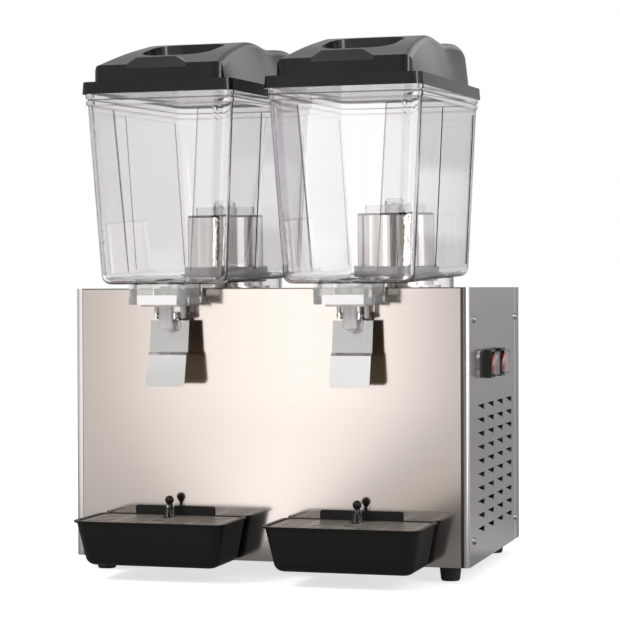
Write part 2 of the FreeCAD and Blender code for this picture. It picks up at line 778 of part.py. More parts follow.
def switches():
    """Two rocker switches under clear splash covers on a long plate on the right side."""
    plate = doc.addObject("PartDesign::Body", "switch_plate_body")
    face = sketch_on(plate, "YZ_Plane", "plate_face", half_width)
    middle = size.cabinet_depth / 2 - 2
    low = size.plate_level - size.plate_height / 2
    high = size.plate_level + size.plate_height / 2
    rectangle(face, middle - size.plate_length / 2, middle + size.plate_length / 2, low, high, 8)
    pad(plate, face, "plate_sheet", "plate_gauge")
    holes = sketch_on(plate, "YZ_Plane", "plate_holes", half_width + size.plate_gauge + 1)
    reach = size.switch_length / 2 - size.switch_wall
    rise = size.switch_height / 2 - size.switch_wall
    for number in range(2):
        y = size.switch_first_y + number * size.switch_pitch
        rectangle(holes, y - reach, y + reach, size.plate_level - rise, size.plate_level + rise)
    plate.Tip = pocket(plate, holes, "plate_openings", "plate_gauge + 2")
    stand("switch_plate", plate)

    face = "(cabinet_width / 2 + plate_gauge)"
    out = f"({face} + switch_proud)"
    bodies, covers = [], []
    for number, name in enumerate(("front", "rear")):
        y = f"(switch_first_y + {number} * switch_pitch)"
        across = "(switch_length / 2)"
        rise = "(switch_height / 2)"
        bezel = box(
            f"{name}_bezel", (face, out),
            (f"{y} - {across}", f"{y} + {across}"),
            (f"plate_level - {rise}", f"plate_level + {rise}"),
        )
        inset = "(switch_wall + fit_gap)"
        back = box(
            f"{name}_switch_back", (f"{face} - switch_depth", face),
            (f"{y} - {across} + {inset}", f"{y} + {across} - {inset}"),
            (f"plate_level - {rise} + {inset}", f"plate_level + {rise} - {inset}"),
        )
        well_reach = f"({across} - {inset})"
        well_rise = f"({rise} - {inset} - 1)"
        well = box(
            f"{name}_well", (f"{face} - switch_well", f"{out} + 1"),
            (f"{y} - {well_reach}", f"{y} + {well_reach}"),
            (f"plate_level - {well_rise}", f"plate_level + {well_rise}"),
        )
        pivot = f"({out} - rocker_pivot_drop)"
        axle_reach = f"({well_reach} + rocker_axle_reach)"
        axle_hole = rod(
            f"{name}_axle_hole", "rocker_axle_radius + running_gap", (pivot, "plate_level"),
            (f"{y} - {axle_reach} - fit_gap", f"{y} + {axle_reach} + fit_gap"), "Y",
        )
        block = join(f"{name}_switch_block", bezel, back)
        bodies.append(cut(f"{name}_switch_body", block, well, axle_hole))
        rocker(name, pivot, y, well_reach, well_rise)
        cover_across = f"({across} - cover_inset_y)"
        cover_rise = f"({rise} - cover_inset_z)"
        shell = box(
            f"{name}_cover_shell", (f"{out}", f"{out} + cover_proud"),
            (f"{y} - {cover_across}", f"{y} + {cover_across}"),
            (f"plate_level - {cover_rise}", f"plate_level + {cover_rise}"),
        )
        hollow = box(
            f"{name}_cover_hollow", (f"{out} - 1", f"{out} + cover_proud - cover_wall"),
            (f"{y} - {cover_across} + cover_wall", f"{y} + {cover_across} - cover_wall"),
            (f"plate_level - {cover_rise} + cover_wall", f"plate_level + {cover_rise} - cover_wall"),
        )
        covers.append(cut(f"{name}_cover", shell, hollow))
    stand("switch_bodies", *bodies)
    stand("switch_covers", *covers)


# Tanks and lids, in the tank frame.


def loop_wire(left, right, front, rear, level, radius):
    """A rounded rectangle in a level plane."""
    radius = min(radius, (right - left) / 2 - 0.1, (rear - front) / 2 - 0.1)
    bulge = radius * (1 - 0.5**0.5)
    edges = [
        Part.LineSegment(Vector(left + radius, front, level), Vector(right - radius, front, level)),
        Part.Arc(
            Vector(right - radius, front, level), Vector(right - bulge, front + bulge, level),
            Vector(right, front + radius, level),
        ),
        Part.LineSegment(Vector(right, front + radius, level), Vector(right, rear - radius, level)),
        Part.Arc(
            Vector(right, rear - radius, level), Vector(right - bulge, rear - bulge, level),
            Vector(right - radius, rear, level),
        ),
        Part.LineSegment(Vector(right - radius, rear, level), Vector(left + radius, rear, level)),
        Part.Arc(
            Vector(left + radius, rear, level), Vector(left + bulge, rear - bulge, level),
            Vector(left, rear - radius, level),
        ),
        Part.LineSegment(Vector(left, rear - radius, level), Vector(left, front + radius, level)),
        Part.Arc(
            Vector(left, front + radius, level), Vector(left + bulge, front + bulge, level),
            Vector(left + radius, front, level),
        ),
    ]
    return Part.Wire([edge.toShape() for edge in edges])


def tapered_block(low, high):
    """A solid between two rounded rectangles, each (half width, front, rear, level, radius)."""
    wires = []
    for half, front, rear, level, radius in (low, high):
        wires.append(loop_wire(-half, half, front, rear, level, radius))
    return Part.makeLoft(wires, True, True)


def rounded_foot(solid, radius):
    """Rounds the edges of the solid's lowest face."""
    floor = min(solid.Faces, key=lambda face: face.CenterOfMass.z)
    return solid.makeFillet(radius, floor.Edges)


def tank_section(level, inset=0.0):
    """The tank's half width, front and rear at a level below the rim, moved in by a wall."""
    share = -level / size.tank_height
    half = size.tank_top_width / 2 + (size.tank_bottom_width - size.tank_top_width) / 2 * share
    front = size.tank_front_top + (size.tank_front_bottom - size.tank_front_top) * share
    rear = size.tank_rear_top + (size.tank_rear_bottom - size.tank_rear_top) * share
    radius = max(size.tank_corner - inset, 1.0)
    return half - inset, front + inset, rear - inset, level, radius


def sunk_panel(corners, depth):
    """A shallow cutter over four corners on the outer wall, given clockwise seen from outside."""
    face = Part.Face(Part.makePolygon([*corners, corners[0]]))
    outward = (corners[1] - corners[0]).cross(corners[3] - corners[0])
    outward.normalize()
    face.translate(outward * -depth)
    return face.extrude(outward * (depth + 4))


def front_wall_point(x, level):
    half, front, rear, level, radius = tank_section(level)
    return Vector(x, front, level)


def side_wall_point(side, y, level):
    half, front, rear, level, radius = tank_section(level)
    return Vector(side * half, y, level)


def tank_shape():
    """A clear moulded tank: tapered walls with sunk panels, a rolled rim and a round seat skirt."""
    height, wall = size.tank_height, size.tank_wall
    outer = rounded_foot(tapered_block(tank_section(-height), tank_section(0.0)), size.tank_foot_round)
    # Below the rim the outside is stepped by a flange and one smaller bead.
    half, front, rear, level, radius = tank_section(0.0)
    for top, depth, proud in (
        (0.0, size.rim_depth, size.rim_proud),
        (-size.rim_depth - size.bead_gap, size.bead_depth, size.bead_proud),
    ):
        band = tapered_block(
            (half + proud, front - proud, rear + proud, top - depth, radius),
            (half + proud, front - proud, rear + proud, top, radius),
        )
        outer = outer.fuse(band)
    high, low = -size.panel_drop, -height + size.panel_foot
    top_half, foot_half = size.front_panel_top_width / 2, size.front_panel_foot_width / 2
    front_ring = ((-top_half, high), (top_half, high), (foot_half, low), (-foot_half, low))
    panels = [[front_wall_point(x, z) for x, z in front_ring]]
    rib = size.side_panel_rib / 2
    rear_end = size.tank_rear_bottom - size.side_panel_setback
    for side in (-1, 1):
        for start, end in (
            (size.side_panel_setback, size.side_panel_break - rib), (size.side_panel_break + rib, rear_end),
        ):
            places = ((start, high), (end, high), (end, low), (start, low))
            ring = [side_wall_point(side, y, z) for y, z in places]
            panels.append(ring if side > 0 else ring[::-1])
    for ring in panels:
        outer = outer.cut(sunk_panel(ring[::-1], size.panel_sink))
    low_inside = tank_section(-height + wall, wall)
    inside = tapered_block(low_inside, tank_section(1.0, wall))
    inside = rounded_foot(inside, max(size.tank_foot_round - wall, 1.0))
    # The skirt hangs from the floor round the drum and stands on the deck.
    centre = Vector(0, size.drum_setback, 0)
    skirt_foot = -height - 40
    skirt = Part.makeCylinder(size.skirt_radius, -height + 1 - skirt_foot, centre + Vector(0, 0, skirt_foot))
    skirt_bore = Part.makeCylinder(
        size.skirt_radius - size.skirt_wall, -height - skirt_foot, centre + Vector(0, 0, skirt_foot)
    )
    skirt = skirt.cut(skirt_bore).cut(below_deck())
    seal_hole = size.drum_radius + size.fit_gap + size.seal_thickness + size.running_gap
    hole = Part.makeCylinder(seal_hole, wall + 2, centre + Vector(0, 0, -height - 1))
    outlet = Part.makeCylinder(size.outlet_radius, wall + 2, Vector(0, size.valve_setback, -height - 1))
    return outer.cut(inside).fuse(skirt).cut(hole).cut(outlet).removeSplitter()


def level_slab(top, thickness):
    """A wide level slab under a height in the cabinet's frame, turned into the tank's frame."""
    reach = 600.0
    slab = Part.makeBox(2 * reach, 2 * reach, thickness, Vector(-reach, -reach, -thickness))
    turn = Rotation(Vector(1, 0, 0), -size.tank_lean)
    slab.Placement = Placement(turn.multVec(Vector(0, 0, top - size.rim_level)), turn)
    return slab


def below_deck():
    """Everything under the deck's top, in the tank's frame."""
    return level_slab(deck_level, 600.0)


def crown_stations():
    """The crown's cross sections from front to rear: (setback, height, half width at the top)."""
    brow, crest = size.brow_height, size.crest_height
    brow_half, crest_half, tail_half = size.brow_width / 2, size.crest_width / 2, size.tail_width / 2
    run = size.crest_setback - size.crown_inset
    stations = []
    # The front slope starts steep and eases into the crest, while its sides draw in.
    for step in range(5):
        share = step / 4
        ease = math.sin(share * math.pi / 2)
        height = brow + (crest - brow) * (share + ease) / 2
        stations.append((size.crown_inset + run * share, height, brow_half + (crest_half - brow_half) * ease))
    first, second = stations[:2]
    before = size.crown_inset + size.crown_lean
    slope = (second[1] - first[1]) / (second[0] - first[0])
    stations.insert(0, (first[0] - before, first[1] - before * slope, brow_half))
    # Behind the crest the top dips, rises to a low hump and falls off over the rear wall.
    valley, hump = (size.valley_setback, size.valley_height), (size.hump_setback, size.hump_height)
    tail_front = size.lid_length - size.tail_length
    rear_line = (
        ((size.crest_setback + valley[0]) / 2, (crest + valley[1]) / 2 + 0.6),
        valley,
        ((valley[0] + hump[0]) / 2, (valley[1] + hump[1]) / 2),
        hump,
        (tail_front, (2 * hump[1] + size.tail_height) / 3),
        (tail_front + size.tail_length / 2, size.tail_height),
        (tail_front + size.tail_length * 0.8, size.tail_height * 0.8),
    )
    for setback, height in rear_line:
        share = (setback - size.crest_setback) / (size.lid_length - size.crest_setback)
        stations.append((setback, height, crest_half + (tail_half - crest_half) * share))
    return stations


def crown_section(setback, top, top_half, inset):
    """An upright cross section with leaning sides and rounded shoulders."""
    low = size.lid_wall
    radius = max(size.shoulder_radius - inset, 0.5)
    foot = Vector(size.lid_width / 2 - size.crown_side_inset - inset, setback, low)
    corner = Vector(top_half - inset, setback, top - inset)
    reach = radius * math.tan(math.atan2(corner.z - foot.z, foot.x - corner.x) / 2)
    down = (foot - corner).normalize()
    start = corner + down * reach
    end = corner - Vector(reach, 0, 0)
    inward = (down + Vector(-1, 0, 0)).normalize()
    middle = corner + inward * (math.hypot(reach, radius) - radius)
    right = [foot, start, middle, end]
    left = [Vector(-spot.x, spot.y, spot.z) for spot in right]
    edges = [
        Part.makeLine(left[0], right[0]),
        Part.makeLine(right[0], right[1]),
        Part.Arc(right[1], right[2], right[3]).toShape(),
        Part.makeLine(right[3], left[3]),
        Part.Arc(left[3], left[2], left[1]).toShape(),
        Part.makeLine(left[1], left[0]),
    ]
    return Part.Wire(edges)


def crown(inset):
    """The lid's raised top: sections lofted along its length, with rounded upright corners."""
    loft = Part.makeLoft([crown_section(*station, inset) for station in crown_stations()], True, False)
    front = size.crown_inset + inset
    rear = size.lid_length - size.crown_inset - inset
    # The block that rounds the upright corners stands a hair outside the crown's sides.
    half = size.lid_width / 2 - size.crown_side_inset - inset + size.fit_gap
    low, high = size.lid_wall - 1, size.crest_height + 8
    radius = max(size.crown_corner - inset, 2.0)
    corners = tapered_block(
        (half, front, rear, low, radius),
        (half, front + size.crown_lean, rear - size.crown_lean, high, radius),
    )
    return loft.common(corners)


def grip(grow):
    """The hand grip's scoop, a trough with rounded ends sunk into the crown's front slope."""
    half = size.grip_width / 2 + grow
    front, rear = size.grip_setback - grow, size.grip_setback + size.grip_length + grow
    draft, radius = size.grip_draft, size.grip_corner + grow
    return tapered_block(
        (half - draft, front + draft, rear - draft, size.grip_floor - grow, radius),
        (half, front, rear, size.crest_height + 10, radius),
    )


def lid_shape():
    """A gloss black double skinned lid: skirt round the rim, raised crown, grip scoop and front tab."""
    half, length = size.lid_width / 2, size.lid_length
    draft = size.flange_draft
    flange = tapered_block(
        (half, 0.0, length, -size.lid_skirt, size.flange_corner),
        (half - draft, draft, length - draft, size.flange_height, size.flange_corner),
    )
    tab_front = size.crown_inset + size.tab_proud
    brow = size.brow_height
    foot_half, top_half = size.tab_foot_width / 2, size.tab_top_width / 2
    right = [(foot_half, brow - size.tab_root), (foot_half, brow), (top_half, brow + size.tab_height)]
    ring = [Vector(x, tab_front, z) for x, z in right]
    ring += [Vector(-spot.x, spot.y, spot.z) for spot in reversed(ring)]
    tab = Part.Face(Part.makePolygon([*ring, ring[0]])).extrude(Vector(0, size.tab_length, 0))
    # The flat underside rests on the tank's rim, and the skirt hangs round the rim to centre the lid.
    rim_half, rim_front, rim_rear, level, radius = tank_section(0.0)
    room = size.rim_proud + size.fit_gap
    rim_plan = (rim_half + room, rim_front - room, rim_rear + room)
    rim_room = tapered_block((*rim_plan, -size.lid_skirt - 1, radius), (*rim_plan, 0.0, radius))
    # The air between the skins breathes through a small hole in the underside.
    foot = Vector(0, length / 2, -size.lid_wall / 2)
    vent = Part.makeCylinder(size.lid_vent_radius, 2 * size.lid_wall, foot)
    air = crown(size.lid_wall).cut(grip(size.lid_wall)).fuse(vent)
    solid = flange.fuse(crown(0.0)).fuse(tab)
    return solid.cut(air).cut(rim_room).cut(grip(0.0)).removeSplitter()


def spring_shape():
    """The valve's return spring, an open coil on the valve's axis."""
    wire, radius = size.spring_wire, size.spring_radius
    foot = -size.tank_height - size.tap_height + size.tap_floor + size.fit_gap + wire
    head = -size.tank_height - size.collar_drop - size.fit_gap - wire
    steps = int(4 * size.spring_turns)
    rise = (head - foot) / steps
    spots = []
    for step in range(2 * steps + 1):
        turn = step * math.pi / 4
        spots.append(Vector(radius * math.cos(turn), radius * math.sin(turn), rise * step / 2))
    edges = [
        Part.Arc(spots[step], spots[step + 1], spots[step + 2]).toShape()
        for step in range(0, 2 * steps, 2)
    ]
    start_ring = Part.Wire(Part.makeCircle(wire, spots[0], spots[1] - spots[0]))
    coil = Part.Wire(edges).makePipeShell([start_ring], True, False)
    coil.translate(Vector(0, size.valve_setback, foot))
    print(f"the valve spring's turns are at least {least_gap(edges, radius) - 2 * wire:.2f} mm apart")
    return coil


def least_gap(edges, radius):
    """The least distance between points of a coil's centre line that lie half a turn or more apart."""
    samples = []
    walked = 0.0
    for edge in edges:
        for share in range(8):
            spot = edge.valueAt(edge.FirstParameter + (edge.LastParameter - edge.FirstParameter) * share / 8)
            samples.append((walked + edge.Length * share / 8, spot))
        walked += edge.Length
    return min(
        spot.distanceToPoint(other)
        for index, (way, spot) in enumerate(samples)
        for other_way, other in samples[index + 1:]
        if other_way - way > math.pi * radius
    )


def lever_shape():
    """A bent stainless paddle with two arms that carry the pivot and work the valve's cross bar."""
    pivot = -size.tank_height - size.tap_height - size.pivot_drop
    gauge = size.lever_gauge
    top = pivot - size.lever_top_drop
    y = size.pivot_setback - 0.5
    line = [(y, top)]
    for run, fall in (
        (size.lever_upper_lean, size.lever_upper_length),
        (size.lever_joggle, size.lever_joggle_drop),
        (size.lever_lower_lean, size.lever_lower_length),
    ):
        line.append((line[-1][0] - run, line[-1][1] - fall))
    front = [Vector(0, y, z) for y, z in line]
    back = [Vector(0, y + gauge, z) for y, z in line]
    back[2] = Vector(0, line[2][0] + gauge * 1.1, line[2][1] - gauge)
    back[1] = Vector(0, line[1][0] + gauge * 0.9, line[1][1] - gauge)
    ring = [*front, *reversed(back)]
    half = size.lever_width / 2
    strip = Part.Face(Part.makePolygon([*ring, ring[0]]))
    strip.translate(Vector(-half, 0, 0))
    paddle = strip.extrude(Vector(2 * half, 0, 0))
    # Seen from the front the paddle is a plate with rounded lower corners.
    low = line[-1][1]
    blank = Part.makeBox(2 * half, 80, top - low, Vector(-half, 0, low))
    corners = [
        edge for edge in blank.Edges
        if abs(edge.CenterOfMass.z - low) < 0.01 and abs(abs(edge.CenterOfMass.x) - half) < 0.01
    ]
    paddle = paddle.common(blank.makeFillet(size.lever_corner, corners))
    thick, half_arm, eye = size.lever_arm_gauge, size.lever_arm_height / 2, size.lever_eye
    bar = size.valve_setback
    root = top - size.lever_arm_root
    hinge = size.pivot_setback
    arm_ring = [
        (bar - eye, pivot - half_arm), (bar - eye, pivot + half_arm),
        (hinge + eye, pivot + half_arm), (hinge + eye, pivot - half_arm),
        (y_at(line, root) + gauge, root), (y_at(line, root), root), (hinge - eye, pivot - half_arm),
    ]
    arms = []
    for side in (-1, 1):
        x = side * size.lever_arm_spread / 2 - (thick if side < 0 else 0)
        points = [Vector(x, y, z) for y, z in arm_ring]
        arms.append(Part.Face(Part.makePolygon([*points, points[0]])).extrude(Vector(thick, 0, 0)))
    solid = paddle.fuse(arms[0]).fuse(arms[1])
    reach = size.lever_width
    bore = size.pivot_radius + size.running_gap
    hole = Part.makeCylinder(bore, 2 * reach, Vector(-reach, size.pivot_setback, pivot), Vector(1, 0, 0))
    # The bar slides in a slot, because the arms swing while it moves straight down.
    slot_radius = size.cross_bar_radius + size.cross_bar_slack
    slot_front, slot_rear = bar - size.lever_slot_front, bar + size.lever_slot_rear
    ends = [
        Part.makeCylinder(slot_radius, 2 * reach, Vector(-reach, place, pivot), Vector(1, 0, 0))
        for place in (slot_front, slot_rear)
    ]
    between = Part.makeBox(
        2 * reach, slot_rear - slot_front, 2 * slot_radius, Vector(-reach, slot_front, pivot - slot_radius)
    )
    return solid.cut(hole).cut(ends[0].fuse(ends[1]).fuse(between)).removeSplitter()


def y_at(line, level):
    """Where the paddle's upper run stands at a level."""
    (y0, z0), (y1, z1) = line[:2]
    return y0 + (y1 - y0) * (z0 - level) / (z0 - z1)


def tank_assembly(name, side):
    """One tank with its lid, seal, drum, stirrer and tap."""
    lean(f"{name}_tank", side, shape(f"{name}_tank_shape", tank_shape()))
    lean(f"{name}_lid", side, shape(f"{name}_lid_shape", lid_shape()))

    centre = ("0", "drum_setback")
    inner = "drum_radius + fit_gap"
    outer = f"{inner} + seal_thickness"
    ring = join(
        f"{name}_seal_blank",
        rod(f"{name}_seal_wall", outer, centre, ("-tank_height - 3", "-tank_height - 3 + seal_height")),
        rod(
            f"{name}_seal_lip", f"{outer} + seal_lip", centre,
            ("-tank_height + tank_wall", "-tank_height + tank_wall + seal_lip_height"),
        ),
    )
    bore = rod(f"{name}_seal_bore", inner, centre, ("-tank_height - 4", "-tank_height + seal_height"))
    lean(f"{name}_tank_seal", side, cut(f"{name}_seal_ring", ring, bore))

    slab = shape(f"{name}_below_deck", below_deck())
    wall = rod(f"{name}_drum_wall", "drum_radius", centre, (f"{DRUM_FOOT} - 10", DRUM_TOP))
    flange = rod(
        f"{name}_drum_flange", "drum_flange_radius", centre,
        (f"{DRUM_FOOT} - 10", f"{DRUM_FOOT} + drum_flange_height"),
    )
    # The coil's room inside is closed by the deck, round a sleeve that lets the shaft through.
    room = rod(
        f"{name}_drum_room", "drum_radius - drum_wall", centre,
        (f"{DRUM_FOOT} - 20", f"{DRUM_TOP} - drum_wall"),
    )
    sleeve = rod(
        f"{name}_drum_sleeve", "shaft_radius + shaft_clearance + drum_sleeve", centre,
        (f"{DRUM_FOOT} - 10", f"{DRUM_TOP} - drum_wall / 2"),
    )
    bore = rod(
        f"{name}_drum_bore", "shaft_radius + shaft_clearance", centre,
        (f"{DRUM_FOOT} - 20", f"{DRUM_TOP} + 1"),
    )
    shell = cut(f"{name}_drum_shell", join(f"{name}_drum_blank", wall, flange), room)
    drum = cut(f"{name}_drum", join(f"{name}_drum_and_sleeve", shell, sleeve), slab, bore)
    lean(f"{name}_cooling_drum", side, drum)

    disc = taper(
        f"{name}_cap_disc", "drum_radius - 0.4", "drum_radius - 1.2", centre,
        (DRUM_TOP, f"{DRUM_TOP} + cap_height"),
    )
    bore = rod(
        f"{name}_cap_bore", "shaft_radius + shaft_clearance", centre,
        (f"{DRUM_TOP} - 1", f"{DRUM_TOP} + cap_height + 1"),
    )
    lean(f"{name}_drum_cap", side, cut(f"{name}_cap", disc, bore))

    seat = f"{DRUM_TOP} + cap_height + fit_gap"
    hub = rod(f"{name}_hub", "hub_radius", centre, (seat, f"{seat} + hub_height"))
    dome = taper(
        f"{name}_hub_dome", "hub_radius", "hub_radius - 3", centre,
        (f"{seat} + hub_height", f"{seat} + hub_height + 3"),
    )
    blades = []
    for letter, wide, deep in (
        ("x", "blade_reach", "blade_thickness / 2"),
        ("y", "blade_thickness / 2", "blade_reach"),
    ):
        blades.append(
            box(
                f"{name}_blade_{letter}", (f"-{wide}", wide),
                (f"drum_setback - {deep}", f"drum_setback + {deep}"), (seat, f"{seat} + blade_height"),
            )
        )
    socket = rod(
        f"{name}_hub_socket", "shaft_radius + running_gap", centre,
        (f"{seat} - 1", f"{seat} + hub_height - 2"),
    )
    blank = join(f"{name}_stirrer_blank", hub, dome, *blades)
    lean(f"{name}_stirrer", side, cut(f"{name}_stirrer_shape", blank, socket))
    motor_top = f"({DRUM_FOOT} - 6)"
    shaft = rod(f"{name}_shaft", "shaft_radius", centre, (f"{motor_top} + 4", f"{seat} + hub_height - 2.3"))
    lean(f"{name}_stirrer_shaft", side, shaft)

    can = rod(
        f"{name}_motor_can", "stirrer_motor_radius", centre,
        (f"{motor_top} - stirrer_motor_height", f"{motor_top} - gauge"),
    )
    boss = rod(f"{name}_motor_boss", "hub_radius - 0.4", centre, (f"{motor_top} - 2", f"{DRUM_FOOT} + 4"))
    wings = box(
        f"{name}_motor_wings", ("-stirrer_motor_radius - 12", "stirrer_motor_radius + 12"),
        ("drum_setback - 9", "drum_setback + 9"), (f"{motor_top} - 4", f"{DRUM_FOOT} + 4"),
    )
    over = shape(f"{name}_deck_space", deck_space())
    through = rod(
        f"{name}_motor_bore", "shaft_radius + fit_gap", centre, (f"{motor_top} + 3.5", f"{DRUM_FOOT} + 5"),
    )
    lean(
        f"{name}_stirrer_motor", side,
        cut(f"{name}_motor", join(f"{name}_motor_blank", can, boss, wings), over, through),
    )
    tap_assembly(name, side)


def deck_space():
    """The deck's sheet and everything over it, in the tank's frame."""
    room = 600.0
    return level_slab(deck_level - size.gauge + room, room)


def tap_assembly(name, side):
    """The push tap: body, nozzle, plunger, spring, pivot and lever."""
    valve = ("0", "valve_setback")
    blank = box(
        f"{name}_tap_block", ("-tap_width / 2", "tap_width / 2"), ("tap_front", "tap_rear"),
        (TAP_FOOT, "-tank_height"),
    )
    hollow = box(
        f"{name}_tap_hollow", ("-tap_hollow_width / 2", "tap_hollow_width / 2"),
        ("tap_front + tap_wall", "tap_rear - tap_wall"), (f"{TAP_FOOT} + tap_floor", "-tank_height + 1"),
    )
    bore = rod(f"{name}_tap_bore", "nozzle_bore", valve, (f"{TAP_FOOT} - 1", f"{TAP_FOOT} + tap_floor + 1"))
    lean(f"{name}_tap_body", side, cut(f"{name}_tap", blank, hollow, bore))

    flange = box(
        f"{name}_nozzle_flange", ("-nozzle_flange_width / 2", "nozzle_flange_width / 2"),
        ("tap_front + 10", "pivot_setback + 6"), (FLANGE_FOOT, TAP_FOOT),
    )
    nozzle_foot = f"({FLANGE_FOOT} - nozzle_length)"
    tube = rod(f"{name}_nozzle_tube", "nozzle_radius", valve, (nozzle_foot, FLANGE_FOOT))
    ears = []
    for hand, spot in (("left", "-(ear_spread / 2) - ear_width"), ("right", "ear_spread / 2")):
        ears.append(
            box(
                f"{name}_ear_{hand}", (spot, f"{spot} + ear_width"),
                ("pivot_setback - 4", "pivot_setback + 4"), (f"{PIVOT} - 3", FLANGE_FOOT),
            )
        )
    bore = rod(f"{name}_nozzle_bore", "nozzle_bore", valve, (f"{nozzle_foot} - 1", f"{TAP_FOOT} + 1"))
    slot = "(cross_bar_radius + cross_bar_slack)"
    window = box(
        f"{name}_nozzle_window", ("-nozzle_radius - 1", "nozzle_radius + 1"),
        (f"valve_setback - {slot}", f"valve_setback + {slot}"),
        (f"{PIVOT} - plunger_stroke - 2 * {slot}", f"{PIVOT} + {slot}"),
    )
    pin_hole = rod(
        f"{name}_ear_hole", "pivot_radius", ("pivot_setback", PIVOT),
        ("-nozzle_flange_width", "nozzle_flange_width"), "X",
    )
    blank = join(f"{name}_nozzle_blank", flange, tube, *ears)
    lean(f"{name}_tap_nozzle", side, cut(f"{name}_nozzle", blank, bore, window, pin_hole))

    reach = "(ear_spread / 2 + ear_width + 1.5)"
    lean(
        f"{name}_lever_pin", side,
        rod(f"{name}_pin", "pivot_radius", ("pivot_setback", PIVOT), (f"-{reach}", reach), "X"),
    )

    stem_foot = f"({nozzle_foot} - fit_gap)"
    head = "(-tank_height - collar_drop)"
    stem = rod(f"{name}_stem", "plunger_radius", valve, (stem_foot, f"{head} + 2"))
    collar_radius = "spring_radius + spring_wire + 0.8"
    collar = rod(f"{name}_collar", collar_radius, valve, (head, f"{head} + collar_height"))
    tip = taper(
        f"{name}_tip", "plunger_radius", "nozzle_radius - 0.6", valve,
        (f"{stem_foot} - tip_height", stem_foot),
    )
    bar_reach = "(lever_arm_spread / 2 + 3)"
    bar = rod(
        f"{name}_cross_bar", "cross_bar_radius", ("valve_setback", PIVOT), (f"-{bar_reach}", bar_reach), "X",
    )
    lean(f"{name}_valve_plunger", side, join(f"{name}_plunger", stem, collar, tip, bar))
    lean(f"{name}_valve_spring", side, shape(f"{name}_spring", spring_shape()))
    lean(f"{name}_tap_lever", side, shape(f"{name}_lever", lever_shape()))


# Drip trays.


def tray_section(level, inset=0.0):
    """The tray's half width, front and rear at a level, moved in by a wall."""
    share = (size.tray_rim_level - level) / size.tray_depth
    half = size.tray_width / 2 - size.tray_side_draft * share
    front = -size.tray_reach + size.tray_front_draft * share
    rear = -size.tray_clearance - size.tray_rear_draft * share
    return half - inset, front + inset, rear - inset, level, max(size.tray_corner - inset, 1.0)


def tray_shape():
    """A deep drip tray that hangs on two tongues in the front panel's slots."""
    gap, wall, lip = size.tray_clearance, size.tray_wall, size.tray_lip
    top, low = size.tray_rim_level, size.tray_rim_level - size.tray_depth
    outer = rounded_foot(tapered_block(tray_section(low), tray_section(top)), size.tray_foot_round)
    half, front, rear, level, corner = tray_section(top)
    brim = tapered_block(
        (half + lip - 0.6, front - lip + 0.6, rear, top - size.tray_lip_height, corner),
        (half + lip, front - lip, rear, top, corner),
    )
    inner = tapered_block(tray_section(low + wall, wall), tray_section(top + 1, wall))
    inner = rounded_foot(inner, size.tray_foot_round - wall)
    # A narrow ledge under the rim carries the grate.
    shelf = top - size.grate_drop - size.grate_gauge
    mouth = wall + size.tray_ledge
    opening = tapered_block(tray_section(shelf - 4, mouth), tray_section(shelf + 1, mouth))
    ledge = tapered_block(tray_section(shelf - 2.5, wall / 2), tray_section(shelf, wall / 2)).cut(opening)
    body = outer.fuse(brim).cut(inner).fuse(ledge)
    tab = Part.makeBox(
        size.tray_tab_width, wall - 0.5, size.tray_tab_height + 1,
        Vector(-size.tray_tab_width / 2, -gap - wall + 0.5, top - 1),
    )
    upright = [
        edge for edge in tab.Edges
        if abs(edge.CenterOfMass.z - top - size.tray_tab_height) < 0.01 and edge.Length < wall
    ]
    body = body.fuse(tab.makeFillet(3.0, upright))
    for hand in (-1, 1):
        x = hand * size.tongue_spread / 2
        tongue = Part.makeBox(
            size.tongue_width, size.tongue_length + gap + wall - 0.5, size.tongue_height,
            Vector(x - size.tongue_width / 2, -gap - wall + 0.5, top - size.tongue_drop - size.tongue_height),
        )
        body = body.fuse(tongue)
    return body.removeSplitter()


def grate(name):
    """A slotted plate on the tray's ledge, with two drain holes and the float guide's hole."""
    body = doc.addObject("PartDesign::Body", f"{name}_grate_body")
    top = size.tray_rim_level - size.grate_drop
    plan = sketch_on(body, "XY_Plane", f"{name}_grate_plan", top)
    half, front, rear, level, corner = tray_section(top - size.grate_gauge, size.tray_wall + size.fit_gap)
    rectangle(plan, -half, half, front, rear, corner)
    plate = pad(body, plan, f"{name}_grate_plate", "grate_gauge")
    plate.Reversed = True
    holes = sketch_on(body, "XY_Plane", f"{name}_grate_holes", top + 1)
    circle(holes, 0, -size.float_setback, size.float_stem_radius + size.stem_clearance)
    for setback in (size.drain_first_setback, size.drain_second_setback):
        circle(holes, 0, -setback, size.drain_radius)
    pocket(body, holes, f"{name}_grate_round_holes", "grate_gauge + 2")
    slots = sketch_on(body, "XY_Plane", f"{name}_grate_slot_row", top + 1)
    middle_y = (front + rear) / 2
    y = middle_y - size.grate_slot_pitch * (size.grate_slot_rows - 1) / 2
    for hand in (-1, 1):
        for column in range(2):
            x = hand * (size.grate_slot_first + column * size.grate_slot_column_pitch)
            rise = size.grate_slot_width / 2
            rectangle(
                slots, x - size.grate_slot_length / 2, x + size.grate_slot_length / 2,
                y - rise, y + rise, rise * 0.98,
            )
    row = pocket(body, slots, f"{name}_grate_slots", "grate_gauge + 2")
    repeat(body, row, slots, "V_Axis", f"{name}_grate_field", "grate_slot_pitch", "grate_slot_rows")
    return body


